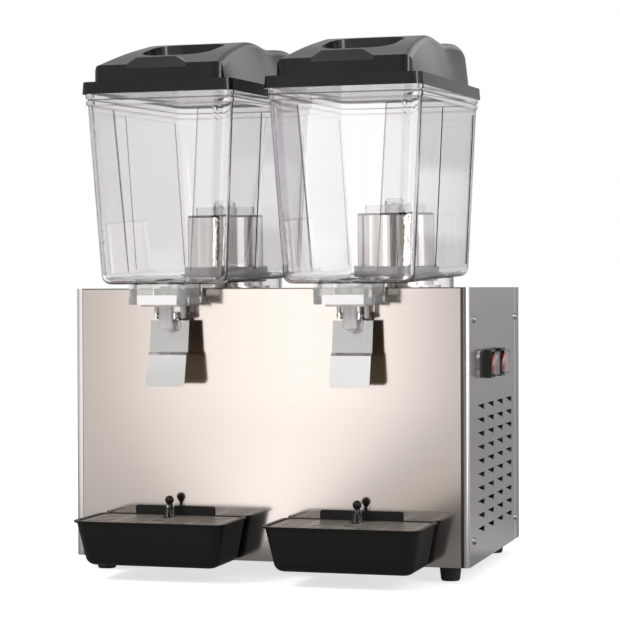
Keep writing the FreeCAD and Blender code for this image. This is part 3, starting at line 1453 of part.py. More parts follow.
def tray_assembly(name, side):
    offset = side * size.tray_pitch / 2
    middle = f"{side} * tray_pitch / 2"
    tray = shape(f"{name}_tray_shape", tray_shape())
    plate = grate(name)
    for piece in (tray, plate):
        piece.Placement = Placement(Vector(offset, 0, 0), Rotation())
    stand(f"{name}_drip_tray", tray)
    stand(f"{name}_tray_grate", plate)
    top = "(tray_rim_level - grate_drop)"
    centre = (middle, "-float_setback")
    tube = rod(f"{name}_guide_tube", "float_guide_radius", centre, (top, f"{top} + float_guide_height"))
    foot = rod(f"{name}_guide_foot", "float_guide_radius + 2", centre, (top, f"{top} + float_guide_foot"))
    bore = rod(
        f"{name}_guide_bore", "float_stem_radius + stem_clearance", centre,
        (f"{top} - 1", f"{top} + float_guide_height + 1"),
    )
    stand(f"{name}_float_guide", cut(f"{name}_guide", join(f"{name}_guide_blank", tube, foot), bore))
    seat = f"({top} + float_guide_height)"
    stem_foot = "(tray_rim_level - tray_depth + tray_wall + float_disc_clearance)"
    knob = ball(f"{name}_float_ball", "float_radius", middle, "-float_setback", f"{seat} + float_radius")
    neck = rod(f"{name}_float_neck", "float_stem_radius + 1.2", centre, (f"{seat}", f"{seat} + 2"))
    stem = rod(f"{name}_float_stem", "float_stem_radius", centre, (stem_foot, f"{seat} + 2"))
    disc_top = f"{stem_foot} + float_disc_height"
    disc = rod(f"{name}_float_disc", "float_disc_radius", centre, (stem_foot, disc_top))
    stand(f"{name}_overflow_float", join(f"{name}_float", knob, neck, stem, disc))


# Machinery inside the cabinet.


def compressor():
    """A hermetic compressor on four grommets."""
    floor = "(foot_height + base_gauge)"
    centre = ("compressor_x", "compressor_y")
    low = f"({floor} + grommet_height)"
    plate = box(
        "compressor_plate",
        ("compressor_x - compressor_plate_width / 2", "compressor_x + compressor_plate_width / 2"),
        ("compressor_y - compressor_plate_depth / 2", "compressor_y + compressor_plate_depth / 2"),
        (low, f"{low} + compressor_plate_gauge"),
    )
    top = f"({low} + compressor_height)"
    shoulder = f"({top} - compressor_dome_height)"
    pot = rod("compressor_pot", "compressor_radius", centre, (f"{low} + compressor_plate_gauge", shoulder))
    waist = f"({low} + compressor_height / 2)"
    seam = rod(
        "compressor_seam", "compressor_radius + compressor_seam_proud", centre,
        (waist, f"{waist} + compressor_seam_height"),
    )
    dome = taper("compressor_dome", "compressor_radius", "compressor_dome_top", centre, (shoulder, top))
    front = "(compressor_y - compressor_radius)"
    terminal = box(
        "compressor_terminal", ("compressor_x - terminal_width / 2", "compressor_x + terminal_width / 2"),
        (f"{front} - terminal_proud", f"{front} + 8"),
        (f"{low} + terminal_level", f"{low} + terminal_level + terminal_height"),
    )
    stand("compressor", join("compressor_case", plate, pot, seam, dome, terminal))
    grommets = []
    for number, (x, y) in enumerate(((-1, -1), (-1, 1), (1, -1), (1, 1))):
        spot = (f"compressor_x + {x} * grommet_spread_x / 2", f"compressor_y + {y} * grommet_spread_y / 2")
        grommets.append(rod(f"grommet_{number}", "grommet_radius", spot, (floor, low)))
    stand("compressor_grommets", *grommets)


def condenser_and_fan():
    """A finned coil along the right side with its shroud, fan and motor."""
    floor = "(foot_height + base_gauge)"
    top = f"({floor} + condenser_height)"
    start = "(fan_y - condenser_length / 2)"
    end = "(fan_y + condenser_length / 2)"
    near = "(condenser_x - condenser_thickness / 2)"
    far = "(condenser_x + condenser_thickness / 2)"
    fin_count = int(size.condenser_length / size.fin_pitch)
    pieces = []
    for number in range(fin_count + 1):
        y = f"({start} + {number} * fin_pitch)"
        pieces.append(box(f"fin_{number}", (near, far), (y, f"{y} + fin_thickness"), (floor, top)))
    ends = (f"{start} - coil_front_end", f"{end} + coil_rear_end")
    for row in range(int(size.coil_levels)):
        level = f"{floor} + coil_first_level + {row} * coil_level_pitch"
        for column in (-1, 1):
            spot = (f"condenser_x + {column} * coil_columns_apart / 2", level)
            pieces.append(rod(f"coil_tube_{row}_{column + 1}", "coil_tube_radius", spot, ends, "Y"))
    stand("condenser", join("condenser_block", *pieces))

    face = f"({near} - fit_gap)"
    plane = f"({face} - fan_thickness)"
    axis = ("fan_y", "fan_level")
    plate = box("shroud_plate", (f"{face} - shroud_gauge", face), (start, end), (floor, top))
    ring = rod(
        "shroud_ring", "fan_radius + fan_tip_gap + fan_ring_wall", axis,
        (plane, f"{face} - shroud_gauge / 2"), "X",
    )
    hole = rod("shroud_hole", "fan_radius + fan_tip_gap", axis, (f"{plane} - 1", f"{face} + 1"), "X")
    stand("fan_shroud", cut("fan_shroud_shape", join("fan_shroud_blank", plate, ring), hole))

    hub = rod("fan_hub", "fan_hub_radius", axis, (plane, f"{face} - 3"), "X")
    count = int(size.fan_blades)
    blades = [shape(f"fan_blade_{number}", fan_blade(number * 360 / count)) for number in range(count)]
    socket = rod("fan_socket", "spindle_radius + 0.05", axis, (f"{plane} - 1", f"{face} - 6"), "X")
    stand("condenser_fan", cut("fan_shape", join("fan_blank", hub, *blades), socket))

    gap = "(3 * fit_gap)"
    back = f"({plane} - {gap})"
    can = rod("fan_motor_can", "fan_motor_radius", axis, (f"{back} - fan_motor_length", f"{back} - 4"), "X")
    nose = rod("fan_motor_nose", "fan_motor_nose_radius", axis, (f"{back} - 5", back), "X")
    spindle = rod("fan_spindle", "spindle_radius", axis, (f"{back} - 2", f"{face} - 7"), "X")
    stand("fan_motor", join("fan_motor_shape", can, nose, spindle))
    middle = f"({back} - fan_motor_length / 2)"
    post = box(
        "motor_post", (f"{middle} - motor_post_width / 2", f"{middle} + motor_post_width / 2"),
        ("fan_y - motor_post_depth / 2", "fan_y + motor_post_depth / 2"),
        (floor, "fan_level - fan_motor_radius / 2"),
    )
    sole = box(
        "motor_sole", (f"{middle} - motor_sole_width / 2", f"{middle} + motor_sole_width / 2"),
        ("fan_y - motor_sole_depth / 2", "fan_y + motor_sole_depth / 2"),
        (floor, f"{floor} + motor_sole_gauge"),
    )
    seat = rod(
        "motor_seat", "fan_motor_radius + running_gap", axis,
        (f"{middle} - motor_sole_width", f"{middle} + motor_sole_width"), "X",
    )
    stand("fan_motor_bracket", cut("motor_bracket_shape", join("motor_bracket_blank", post, sole), seat))


def fan_blade(turn):
    """One pitched blade from the hub to near the shroud."""
    face = size.condenser_x - size.condenser_thickness / 2 - size.fit_gap
    middle = face - size.fan_thickness / 2 - 1.5
    long = size.fan_radius - size.fan_hub_radius + 3
    gauge, chord = size.fan_blade_gauge, size.fan_blade_chord
    blade = Part.makeBox(gauge, chord, long, Vector(-gauge / 2, -chord / 2, size.fan_hub_radius - 3))
    blade.rotate(Vector(), Vector(0, 0, 1), size.fan_blade_pitch)
    depth = size.fan_thickness - 5
    keep = Part.makeCylinder(size.fan_radius, depth, Vector(-depth / 2, 0, 0), Vector(1, 0, 0))
    blade = blade.common(keep)
    blade.rotate(Vector(), Vector(1, 0, 0), turn)
    blade.translate(Vector(middle, size.fan_y, size.fan_level))
    return blade


def electrics():
    """A control box on the base and the cord's gland in the rear panel."""
    floor = "(foot_height + base_gauge)"
    high = f"({floor} + box_height)"
    across = ("-box_width / 2", "box_width / 2")
    along = ("box_setback", "box_setback + box_depth")
    case = box("box_case", across, along, (floor, high))
    room = box(
        "box_room", ("-box_width / 2 + box_wall", "box_width / 2 - box_wall"),
        ("box_setback + box_wall", "box_setback + box_depth - box_wall"),
        (f"{floor} + box_wall", f"{high} + 1"),
    )
    stand("control_box", cut("control_box_shape", case, room))
    stand("control_box_cover", box("cover_plate", across, along, (high, f"{high} + box_wall")))
    centre = ("-cabinet_width / 2 + gland_inset", "foot_height + gland_level")
    face = "cabinet_depth"
    neck = rod("gland_neck", "gland_radius - 3", centre, (f"{face} - gauge - 8", f"{face} + 1"), "Y")
    collar = rod("gland_collar", "gland_radius", centre, (face, f"{face} + 3"), "Y")
    nose = taper(
        "gland_nose", "gland_radius - 1", "gland_radius - 3", centre,
        (f"{face} + 3", f"{face} + gland_proud"), "Y",
    )
    bore = rod("gland_bore", "gland_bore", centre, (f"{face} - 12", f"{face} + gland_proud + 1"), "Y")
    stand("power_gland", cut("gland_shape", join("gland_blank", neck, collar, nose), bore))


def bent_pipe(points, radius, bend):
    """A tube along straight runs joined by tangent arcs."""
    edges = []
    here = points[0]
    for index in range(1, len(points) - 1):
        corner = points[index]
        before = points[index - 1] - corner
        after = points[index + 1] - corner
        before.normalize()
        after.normalize()
        half_turn = before.getAngle(after) / 2
        reach = bend / math.tan(half_turn)
        start = corner + before * reach
        end = corner + after * reach
        inward = before + after
        inward.normalize()
        depth = (reach**2 + bend**2) ** 0.5 - bend
        edges.append(Part.makeLine(here, start))
        edges.append(Part.Arc(start, corner + inward * depth, end).toShape())
        here = end
    edges.append(Part.makeLine(here, points[-1]))
    path = Part.Wire(edges)
    ring = Part.Wire(Part.makeCircle(radius, points[0], points[1] - points[0]))
    return path.makePipeShell([ring], True, False)


def pipes():
    """Copper pipes from the compressor to the condenser and to each drum's foot."""
    floor = size.foot_height + size.base_gauge
    head = floor + size.grommet_height + size.compressor_height
    x, y = size.compressor_x, size.compressor_y
    rear = size.cabinet_depth - 14.0
    coil_end = size.fan_y + size.condenser_length / 2 + size.coil_rear_end
    coil_x = size.condenser_x - size.coil_columns_apart / 2
    coil_level = floor + size.coil_first_level + (size.coil_levels - 1) * size.coil_level_pitch
    spread = size.pipe_spread
    over = head + 30
    runs = [
        [
            Vector(x + spread, y, head), Vector(x + spread, y, over), Vector(x + spread, rear, over),
            Vector(coil_x, rear, over), Vector(coil_x, rear, coil_level),
            Vector(coil_x, coil_end, coil_level),
        ]
    ]
    drum_pipe_y = drum_y() + size.drum_pipe_setback
    for side, start_x, lift in ((-1, x - spread, head + 48), (1, x, head + 66)):
        start_y = y if side < 0 else y - spread
        end_x = side * size.tank_pitch / 2
        runs.append(
            [
                Vector(start_x, start_y, head), Vector(start_x, start_y, lift),
                Vector(start_x, drum_pipe_y, lift), Vector(end_x, drum_pipe_y, lift),
                Vector(end_x, drum_pipe_y, deck_level + size.drum_pipe_rise),
            ]
        )
    tubes = []
    for name, run in zip(("condenser_pipe", "left_drum_pipe", "right_drum_pipe"), runs):
        tubes.append(shape(name, bent_pipe(run, size.pipe_radius, size.pipe_bend)))
    stand("refrigerant_pipes", *tubes)


front_panel()
side_panel("left_side_panel", -1)
side_panel("right_side_panel", 1)
rear_panel()
deck_and_base()
feet()
side_screws()
switches()
for name, side in (("left", -1), ("right", 1)):
    tank_assembly(name, side)
    tray_assembly(name, side)
compressor()
condenser_and_fan()
electrics()
pipes()
doc.recompute()

for item in doc.Objects:
    if {"Invalid", "Error"} & set(item.State):
        raise RuntimeError(f"{item.Label} did not build: {item.State}")
os.makedirs("parts", exist_ok=True)
for node in nodes:
    solid = node.Shape
    if solid.isNull() or not solid.isValid() or not solid.Solids:
        raise RuntimeError(f"{node.Label} has no valid solid")
    solid.exportStep(f"parts/{node.Label}.step")
    bounds = solid.BoundBox
    print(
        f"{node.Label}: {len(solid.Solids)} solids, {solid.Volume / 1000:.1f} cm3,"
        f" x {bounds.XMin:.1f} to {bounds.XMax:.1f}, y {bounds.YMin:.1f} to {bounds.YMax:.1f},"
        f" z {bounds.ZMin:.1f} to {bounds.ZMax:.1f}"
    )
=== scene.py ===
# %% [markdown]
# # A two-tank juice dispenser, dressed in Blender
# The real machine stands on a shop counter. A steel cabinet cools two clear
# tanks, each with a black lid, a cold drum inside, a tap and a drip tray.
# The CAD model already holds every piece in its true place, so this lesson
# keeps those solids and gives them their finishes. It makes anew only what a
# solid model leaves plain: the vents' bent flaps, the screws' heads and the
# wound springs of the two valves.

# %% Load the CAD frame
import json
import math

import bmesh
import bpy
from mathutils import Matrix, Vector


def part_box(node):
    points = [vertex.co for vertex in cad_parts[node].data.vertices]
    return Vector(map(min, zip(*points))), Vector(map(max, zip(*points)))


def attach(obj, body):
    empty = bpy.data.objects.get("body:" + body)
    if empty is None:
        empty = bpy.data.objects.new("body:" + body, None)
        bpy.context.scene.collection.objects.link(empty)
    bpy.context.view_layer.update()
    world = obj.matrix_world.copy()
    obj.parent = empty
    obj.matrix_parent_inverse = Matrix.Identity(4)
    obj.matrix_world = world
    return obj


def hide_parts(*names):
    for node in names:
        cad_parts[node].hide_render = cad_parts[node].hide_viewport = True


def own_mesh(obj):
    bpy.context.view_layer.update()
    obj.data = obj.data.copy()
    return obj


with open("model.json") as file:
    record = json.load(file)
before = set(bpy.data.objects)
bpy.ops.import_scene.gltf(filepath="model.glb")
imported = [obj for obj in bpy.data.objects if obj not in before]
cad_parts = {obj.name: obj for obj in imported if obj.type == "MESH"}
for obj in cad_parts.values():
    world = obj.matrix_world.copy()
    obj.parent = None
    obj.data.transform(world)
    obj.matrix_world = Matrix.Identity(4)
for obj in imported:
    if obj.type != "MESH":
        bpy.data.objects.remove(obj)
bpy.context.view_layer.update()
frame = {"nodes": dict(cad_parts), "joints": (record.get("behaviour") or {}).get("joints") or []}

MM = 0.001
pieces = frame["nodes"]

# %% [markdown]
# ## The camera
# The photograph was taken from the front right, level with the top of the
# cabinet, from a good two metres away with a long lens. Those numbers were
# worked out from the straight edges of the cabinet. Yaw, pitch and roll are
# turned into the camera's own axes here, because an exact matrix leaves no
# doubt about the order in which the three angles are applied.

# %% Place the camera
CAMERA_PLACE = Vector((0.6341, -2.1253, 0.30044))
YAW, PITCH, ROLL = math.radians(16.2958), math.radians(-0.58378), math.radians(-0.21802)
SENSOR_WIDTH, FOCAL_LENGTH, NEAREST_SEEN = 36, 118.13, 0.05
level_right = Vector((math.cos(YAW), math.sin(YAW), 0))
level_ahead = Vector((-math.sin(YAW), math.cos(YAW), 0))
upward = Vector((0, 0, 1))
ahead = level_ahead * math.cos(PITCH) + upward * math.sin(PITCH)
pitched_up = upward * math.cos(PITCH) - level_ahead * math.sin(PITCH)
camera_right = level_right * math.cos(ROLL) + pitched_up * math.sin(ROLL)
camera_up = pitched_up * math.cos(ROLL) - level_right * math.sin(ROLL)

lens = bpy.data.cameras.new("photo_camera")
lens.sensor_width = SENSOR_WIDTH
lens.lens = FOCAL_LENGTH
lens.clip_start = NEAREST_SEEN
camera = bpy.data.objects.new("photo_camera", lens)
bpy.context.scene.collection.objects.link(camera)
camera.matrix_world = Matrix.Translation(CAMERA_PLACE) @ Matrix(
    (camera_right, camera_up, -ahead)
).transposed().to_4x4()
bpy.context.scene.camera = camera
print(f"camera {CAMERA_PLACE.length:.2f} m from the middle, {lens.lens:.2f} mm lens")

# %% [markdown]
# ## Node trees in plain Python
# A finish in Blender is a net of nodes, and so is a shape that Geometry Nodes
# repeats. Written out one node at a time such a net is hard to read, so a
# `Wire` stands for the output of one node, and adding or multiplying wires adds
# the Math nodes that do it. Every other kind of node comes from one method,
# `node`, which makes the node's settings first and then fills its sockets, each
# with a value or with a wire.

# %% A wire between two nodes
class Wire:
    """One output of a node, which can be used in sums."""

    def __init__(self, net, socket):
        self.net = net
        self.socket = socket

    def maths(self, operation, first, second=0.0):
        return self.net.node("ShaderNodeMath", {"operation": operation}, {0: first, 1: second})

    def __add__(self, other):
        return self.maths("ADD", self, other)

    def __sub__(self, other):
        return self.maths("SUBTRACT", self, other)

    def __rsub__(self, other):
        return self.maths("SUBTRACT", other, self)

    def __mul__(self, other):
        return self.maths("MULTIPLY", self, other)

    __radd__ = __add__
    __rmul__ = __mul__

    def size(self):
        """The wire's value without its sign."""
        return self.maths("ABSOLUTE", self)

    def between(self, start, end, shape="SMOOTHSTEP"):
        """0 at start and 1 at end, with a soft or a straight change in between."""
        ends = {"Value": self, "From Min": start, "From Max": end}
        return self.net.node("ShaderNodeMapRange", {"interpolation_type": shape}, ends)


# %% A net of nodes
class Net:
    """A node tree, whose nodes all come from one method."""

    def __init__(self, tree):
        self.tree = tree

    def node(self, kind, settings=None, values=None, out=0):
        """Adds one node: its settings first, then its sockets, and gives one output."""
        node = self.tree.nodes.new(kind)
        for name, setting in (settings or {}).items():
            if name == "stops":
                ramp = node.color_ramp.elements
                while len(ramp) < len(setting):
                    ramp.new(1.0)
                for element, (place, colour) in zip(ramp, setting):
                    element.position = place
                    element.color = (*colour, 1)
            else:
                setattr(node, name, setting)
        for name, value in (values or {}).items():
            if isinstance(value, Wire):
                self.tree.links.new(value.socket, node.inputs[name])
            else:
                node.inputs[name].default_value = value
        return Wire(self, node.outputs[out])


# %% A finish
class Finish(Net):
    """A material with one main shader, whose fixed sockets are given by name."""

    def __init__(self, name, **fixed):
        self.material = bpy.data.materials.new(name)
        self.material.use_nodes = True
        super().__init__(self.material.node_tree)
        self.shader = self.tree.nodes["Principled BSDF"]
        self.surface = self.tree.nodes["Material Output"].inputs["Surface"]
        for socket, value in fixed.items():
            self.shader.inputs[socket.replace("_", " ")].default_value = value

    def drive(self, socket, wire):
        """Feeds a socket of the main shader from a wire."""
        self.tree.links.new(wire.socket, self.shader.inputs[socket])

    def colour(self):
        """The wire that feeds the main shader's colour now."""
        return Wire(self, self.shader.inputs["Base Color"].links[0].from_socket)

    def blend_in(self, shader, share):
        """Mixes one more shader over what is there, by a share from 0 to 1."""
        there = Wire(self, self.surface.links[0].from_socket)
        blend = self.node("ShaderNodeMixShader", values={0: share, 1: there, 2: shader})
        self.tree.links.new(blend.socket, self.surface)

    def place(self):
        """The point on the piece, in metres from the middle of the machine's foot."""
        return self.node("ShaderNodeTexCoord", out="Object")

    def axis(self, letter):
        return self.node("ShaderNodeSeparateXYZ", values={0: self.place()}, out="XYZ".index(letter))

    def noise(self, scale, stretch=(1, 1, 1), detail=3.0):
        """A cloudy pattern of about `scale` patches to the metre, drawn out by `stretch`."""
        drawn = self.node("ShaderNodeMapping", values={"Vector": self.place(), "Scale": stretch})
        values = {"Vector": drawn, "Scale": scale, "Detail": detail}
        return self.node("ShaderNodeTexNoise", values=values)

    def mix(self, first, second, share):
        """Between two colours, each a wire or three numbers, by a share from 0 to 1."""
        first, second = (c if isinstance(c, Wire) else (*c, 1) for c in (first, second))
        values = {0: share, 6: first, 7: second}
        return self.node("ShaderNodeMix", {"data_type": "RGBA"}, values, out=2)

    def bump(self, height, strength, depth):
        values = {"Height": height, "Strength": strength, "Distance": depth}
        self.drive("Normal", self.node("ShaderNodeBump", values=values))


print("wires, nets and finishes are ready")

# %% [markdown]
# ## The room round the machine
# Steel and clear plastic look like what stands round them, and the cooling
# drums mirror nearly the whole room in thin upright stripes. Read from left to
# right, the stripes on a drum give the studio back: a lilac grey wall on the
# left, a cream screen beside the camera, the dark gap where the photographer
# stands, a grey wall and two bright soft boxes on the right. The room here is
# one curved wall with those colours in that order. Each entry of STRIPES has a
# compass angle, counted from the front towards the right, the colour of the
# wall's lower part there, and how bright its upper part is. The wall is open
# behind the machine, where the white background shows, and the dark stripes at
# that opening draw the thin dark lines on the edges of the clear tanks.
#
# Two things cross the stripes. A lighter band stands behind on the right, at
# the height of the drums. Above a metre the wall is plain grey: light in front,
# where the taps' levers mirror it, and darker on the left and at the rear right.

# %% Colours round the room
ROOM_FIRST, ROOM_LAST = -146, 177
BRIGHTEST = 2.2
COLOUR, UPPER = 1, 2
STRIPES = (
    (-146, (0.05, 0.05, 0.05), 0.30), (-139, (0.05, 0.05, 0.05), 0.30),
    (-135, (0.66, 0.64, 0.67), 0.45), (-60, (0.66, 0.64, 0.67), 0.45),
    (-48, (0.80, 0.77, 0.75), 0.42), (-30, (0.87, 0.84, 0.82), 0.35),
    (-25, (1.06, 1.03, 1.00), 0.46), (-23, (1.50, 1.46, 1.43), 0.46),
    (-18, (2.08, 2.02, 1.99), 0.46), (-15, (2.20, 2.17, 2.14), 0.48),
    (-11, (1.80, 1.76, 1.75), 0.46), (-8, (1.02, 1.00, 1.00), 0.40),
    (0, (0.82, 0.76, 0.68), 0.34), (2, (0.02, 0.01, 0.01), 0.30),
    (20, (0.02, 0.01, 0.01), 0.30), (24, (0.24, 0.23, 0.20), 0.40),
    (50, (0.34, 0.33, 0.29), 0.50), (54, (2.20, 2.20, 2.20), 1.60),
    (75, (2.20, 2.20, 2.20), 1.60), (78, (0.70, 0.69, 0.69), 0.80),
    (84, (0.70, 0.69, 0.69), 0.80), (88, (2.10, 2.10, 2.10), 1.20),
    (103, (2.10, 2.10, 2.10), 1.20), (108, (1.08, 1.05, 1.06), 0.70),
    (146, (0.60, 0.59, 0.60), 0.30), (150, (0.36, 0.355, 0.36), 0.18),
    (158, (0.34, 0.335, 0.34), 0.18), (163, (0.34, 0.335, 0.34), 0.46),
    (171, (0.33, 0.325, 0.33), 0.46), (173, (0.05, 0.05, 0.05), 0.50),
    (177, (0.05, 0.05, 0.05), 0.50),
)


def grey(level):
    """An even grey, as a share of the brightest light in the room."""
    return (level / BRIGHTEST,) * 3


def compass_colours(finish, column):
    """The room's COLOUR or its UPPER brightness at a point's compass angle."""
    angle = finish.axis("X").maths("ARCTAN2", finish.axis("X"), finish.axis("Y") * -1)
    along = angle.between(math.radians(ROOM_FIRST), math.radians(ROOM_LAST), "LINEAR")
    stops = []
    for stripe in STRIPES:
        place = (stripe[0] - ROOM_FIRST) / (ROOM_LAST - ROOM_FIRST)
        level = stripe[column]
        shade = tuple(part / BRIGHTEST for part in level) if column == COLOUR else grey(level)
        stops.append((place, shade))
    return finish.node("ShaderNodeValToRGB", {"stops": stops}, {0: along})


print(f"room: {len(STRIPES)} colours round {ROOM_LAST - ROOM_FIRST} degrees")

# %% The room's wall
ROOM_RADIUS, ROOM_HEIGHT, ROOM_STEPS = 3.0, 3.4, 96
UPPER_START = (0.50, 0.85)
LIGHT_BAND = 0.78
BAND_RIGHT, BAND_BACK = (0.6, 0.9), (0.5, 0.9)
BAND_FOOT, BAND_HEAD = (0.33, 0.38), (0.50, 0.55)
HIGH_LEFT, HIGH_FRONT, HIGH_BACK = 0.45, 0.95, 0.25
HIGH_START, LEFT_END = (1.0, 1.3), (-1.1, -0.85)
REAR_RIGHT, REAR_BACK = (0.9, 1.1), (0, 0.5)
room_mesh = bpy.data.meshes.new("room_wall")
rim = []
for step in range(ROOM_STEPS + 1):
    turn = math.radians(ROOM_FIRST + (ROOM_LAST - ROOM_FIRST) * step / ROOM_STEPS)
    x, y = ROOM_RADIUS * math.sin(turn), -ROOM_RADIUS * math.cos(turn)
    rim += [(x, y, 0), (x, y, ROOM_HEIGHT)]
panels = [(2 * n, 2 * n + 2, 2 * n + 3, 2 * n + 1) for n in range(ROOM_STEPS)]
room_mesh.from_pydata(rim, [], panels)
room_wall = bpy.data.objects.new("room_wall", room_mesh)
bpy.context.scene.collection.objects.link(room_wall)
paint = Finish("room_paint", Base_Color=(0, 0, 0, 1), Roughness=1.0, Specular_IOR_Level=0.0)
across, back, up = (paint.axis(letter) for letter in "XYZ")
wall_colour = paint.mix(
    compass_colours(paint, COLOUR), compass_colours(paint, UPPER), up.between(*UPPER_START)
)
light_band = across.between(*BAND_RIGHT) * back.between(*BAND_BACK)
light_band = light_band * up.between(*BAND_FOOT) * (1 - up.between(*BAND_HEAD))
wall_colour = paint.mix(wall_colour, grey(LIGHT_BAND), light_band)
high_grey = paint.mix(grey(HIGH_LEFT), grey(HIGH_FRONT), across.between(*LEFT_END))
right_rear = across.between(*REAR_RIGHT) * back.between(*REAR_BACK)
high_grey = paint.mix(high_grey, grey(HIGH_BACK), right_rear)
paint.drive("Emission Color", paint.mix(wall_colour, high_grey, up.between(*HIGH_START)))
paint.shader.inputs["Emission Strength"].default_value = BRIGHTEST
room_mesh.materials.append(paint.material)
room_wall.visible_camera = room_wall.visible_diffuse = room_wall.visible_shadow = False
print(f"room wall: {ROOM_RADIUS} m round the machine, {ROOM_HEIGHT} m high")

# %% [markdown]
# ## Floor and background
# The photograph shows the machine cut out on pure white. A white card for a
# floor and a white world give the same: rays from the camera, and those that
# clear plastic sends on, see plain white. The card glows a little as well, so
# that only the deep shadow right under the machine still shows. In the steel
# front the floor is no white card. It carries the room's colours on, and a
# painted shadow darkens it close to the machine, as the lowest part of the
# front does in the photograph.

# %% Which rays see what
def ray_kinds(net):
    """The rays that see plain white, and the rays that steel mirrors, each 0 or 1."""
    looked_at = net.node("ShaderNodeLightPath", out="Is Camera Ray")
    let_through = net.node("ShaderNodeLightPath", out="Is Transmission Ray")
    mirrored = net.node("ShaderNodeLightPath", out="Is Glossy Ray")
    plain = (looked_at + let_through).between(0, 1, "LINEAR")
    return plain, mirrored * (1 - plain)


print("rays from the camera and through clear plastic see plain white")

# %% The floor
FLOOR_REACH = 40
FLOOR_GLOW, WHITE_GLOW = 0.2, 3.45
MIRRORED_GLOW = 0.8
NEAR_SHADOW_COLOUR, NEAR_SHADOW_FADE = (0.06, 0.06, 0.055), (0.28, 0.62)
REAR_FADE, REAR_SHARE = (0.1, 0.2), 0.35
floor_mesh = bpy.data.meshes.new("floor")
corners = [(x * FLOOR_REACH, y * FLOOR_REACH, 0) for x, y in ((-1, -1), (1, -1), (1, 1), (-1, 1))]
floor_mesh.from_pydata(corners, [], [(0, 1, 2, 3)])
floor = bpy.data.objects.new("floor", floor_mesh)
bpy.context.scene.collection.objects.link(floor)
card = Finish("white_card", Roughness=0.9, Specular_IOR_Level=0.0)
card.drive("Base Color", card.mix((0.85, 0.85, 0.85), (0.87, 0.87, 0.87), card.noise(2.0)))
plain, in_steel = ray_kinds(card)
back = card.axis("Y")
# painted shadow: the floor that the steel mirrors turns dark close in front of the machine
near = (1 - (0 - back).between(*NEAR_SHADOW_FADE)) * (1 - back.between(*REAR_FADE) * REAR_SHARE)
floor_seen = card.mix(compass_colours(card, COLOUR), NEAR_SHADOW_COLOUR, near)
for colour, strength, share in (
    (floor_seen, BRIGHTEST, in_steel * MIRRORED_GLOW),
    ((1, 1, 1, 1), WHITE_GLOW, plain * FLOOR_GLOW),
):
    glow = card.node("ShaderNodeEmission", values={"Color": colour, "Strength": strength})
    card.blend_in(glow, share)
floor_mesh.materials.append(card.material)
bpy.context.scene.view_settings.view_transform = "Standard"
print(f"floor: a white card that reaches {FLOOR_REACH} m each way")

# %% The world
WORLD_LIGHT = 0.62
CEILING = 0.42
world = bpy.data.worlds.new("studio")
bpy.context.scene.world = world
world.use_nodes = True
plain, in_steel = ray_kinds(Net(world.node_tree))
strength = plain + in_steel * CEILING + (1 - plain - in_steel) * WORLD_LIGHT
background = world.node_tree.nodes["Background"]
background.inputs["Color"].default_value = (1, 1, 1, 1)
world.node_tree.links.new(strength.socket, background.inputs["Strength"])
print(f"world: white to look at, {CEILING} in steel, {WORLD_LIGHT} as light")

# %% [markdown]
# Two large lamps shape the object. The main one stands high on the left, in
# front, and gives the shadow on the floor its direction. A narrow upright one
# on the right lights the side panel.

# %% The lamps
LIT_POINT = (0, 0, 0.3)


def lamp(name, place, width, height, power):
    """A soft rectangular lamp that looks at the middle of the machine."""
    light = bpy.data.lights.new(name, "AREA")
    light.shape = "RECTANGLE"
    light.size, light.size_y = width, height
    light.energy = power
    holder = bpy.data.objects.new(name, light)
    bpy.context.scene.collection.objects.link(holder)
    holder.location = place
    towards = Vector(LIT_POINT) - Vector(place)
    holder.rotation_euler = towards.to_track_quat("-Z", "Y").to_euler()
    print(f"{name}: {width} by {height} m, {power} W")


lamp("key_lamp", (-1.3, -1.7, 1.9), width=1.2, height=1.2, power=38)
lamp("right_lamp", (1.9, -0.9, 1.2), width=0.5, height=1.6, power=12)

# %% [markdown]
# ## Steel
# The front is a satin stainless sheet that looks warm, because it mirrors a
# warm room. Brushing leaves fine scratches along the sheet, so the noise is
# drawn out a hundred times along x. The scratches vary the roughness and raise
# a very low bump, and a broad cloud keeps the large face from being one tone.

# %% The brushed metals
SCRATCHES, CLOUDS = 900, 3.0
SCRATCH_SHARE, CLOUD_SHARE = 0.3, 0.7
ROUGHNESS_SPREAD = 0.12
SCRATCH_BUMP, SCRATCH_DEPTH = 0.03, 0.0002


def brushed_steel(name, bright, dark, roughness, stretch):
    """Bare metal, with its scratches drawn out along the axis with the small number."""
    steel = Finish(name, Metallic=1.0)
    scratches = steel.noise(SCRATCHES, stretch, detail=2.0)
    cloud = steel.noise(CLOUDS, (1, 1, 0.4), detail=1.0)
    worn = scratches * SCRATCH_SHARE + cloud * CLOUD_SHARE
    steel.drive("Base Color", steel.mix(dark, bright, worn))
    steel.drive("Roughness", scratches * ROUGHNESS_SPREAD + (roughness - ROUGHNESS_SPREAD / 2))
    steel.bump(scratches, SCRATCH_BUMP, SCRATCH_DEPTH)
    print(f"{name}: roughness about {roughness}")
    return steel


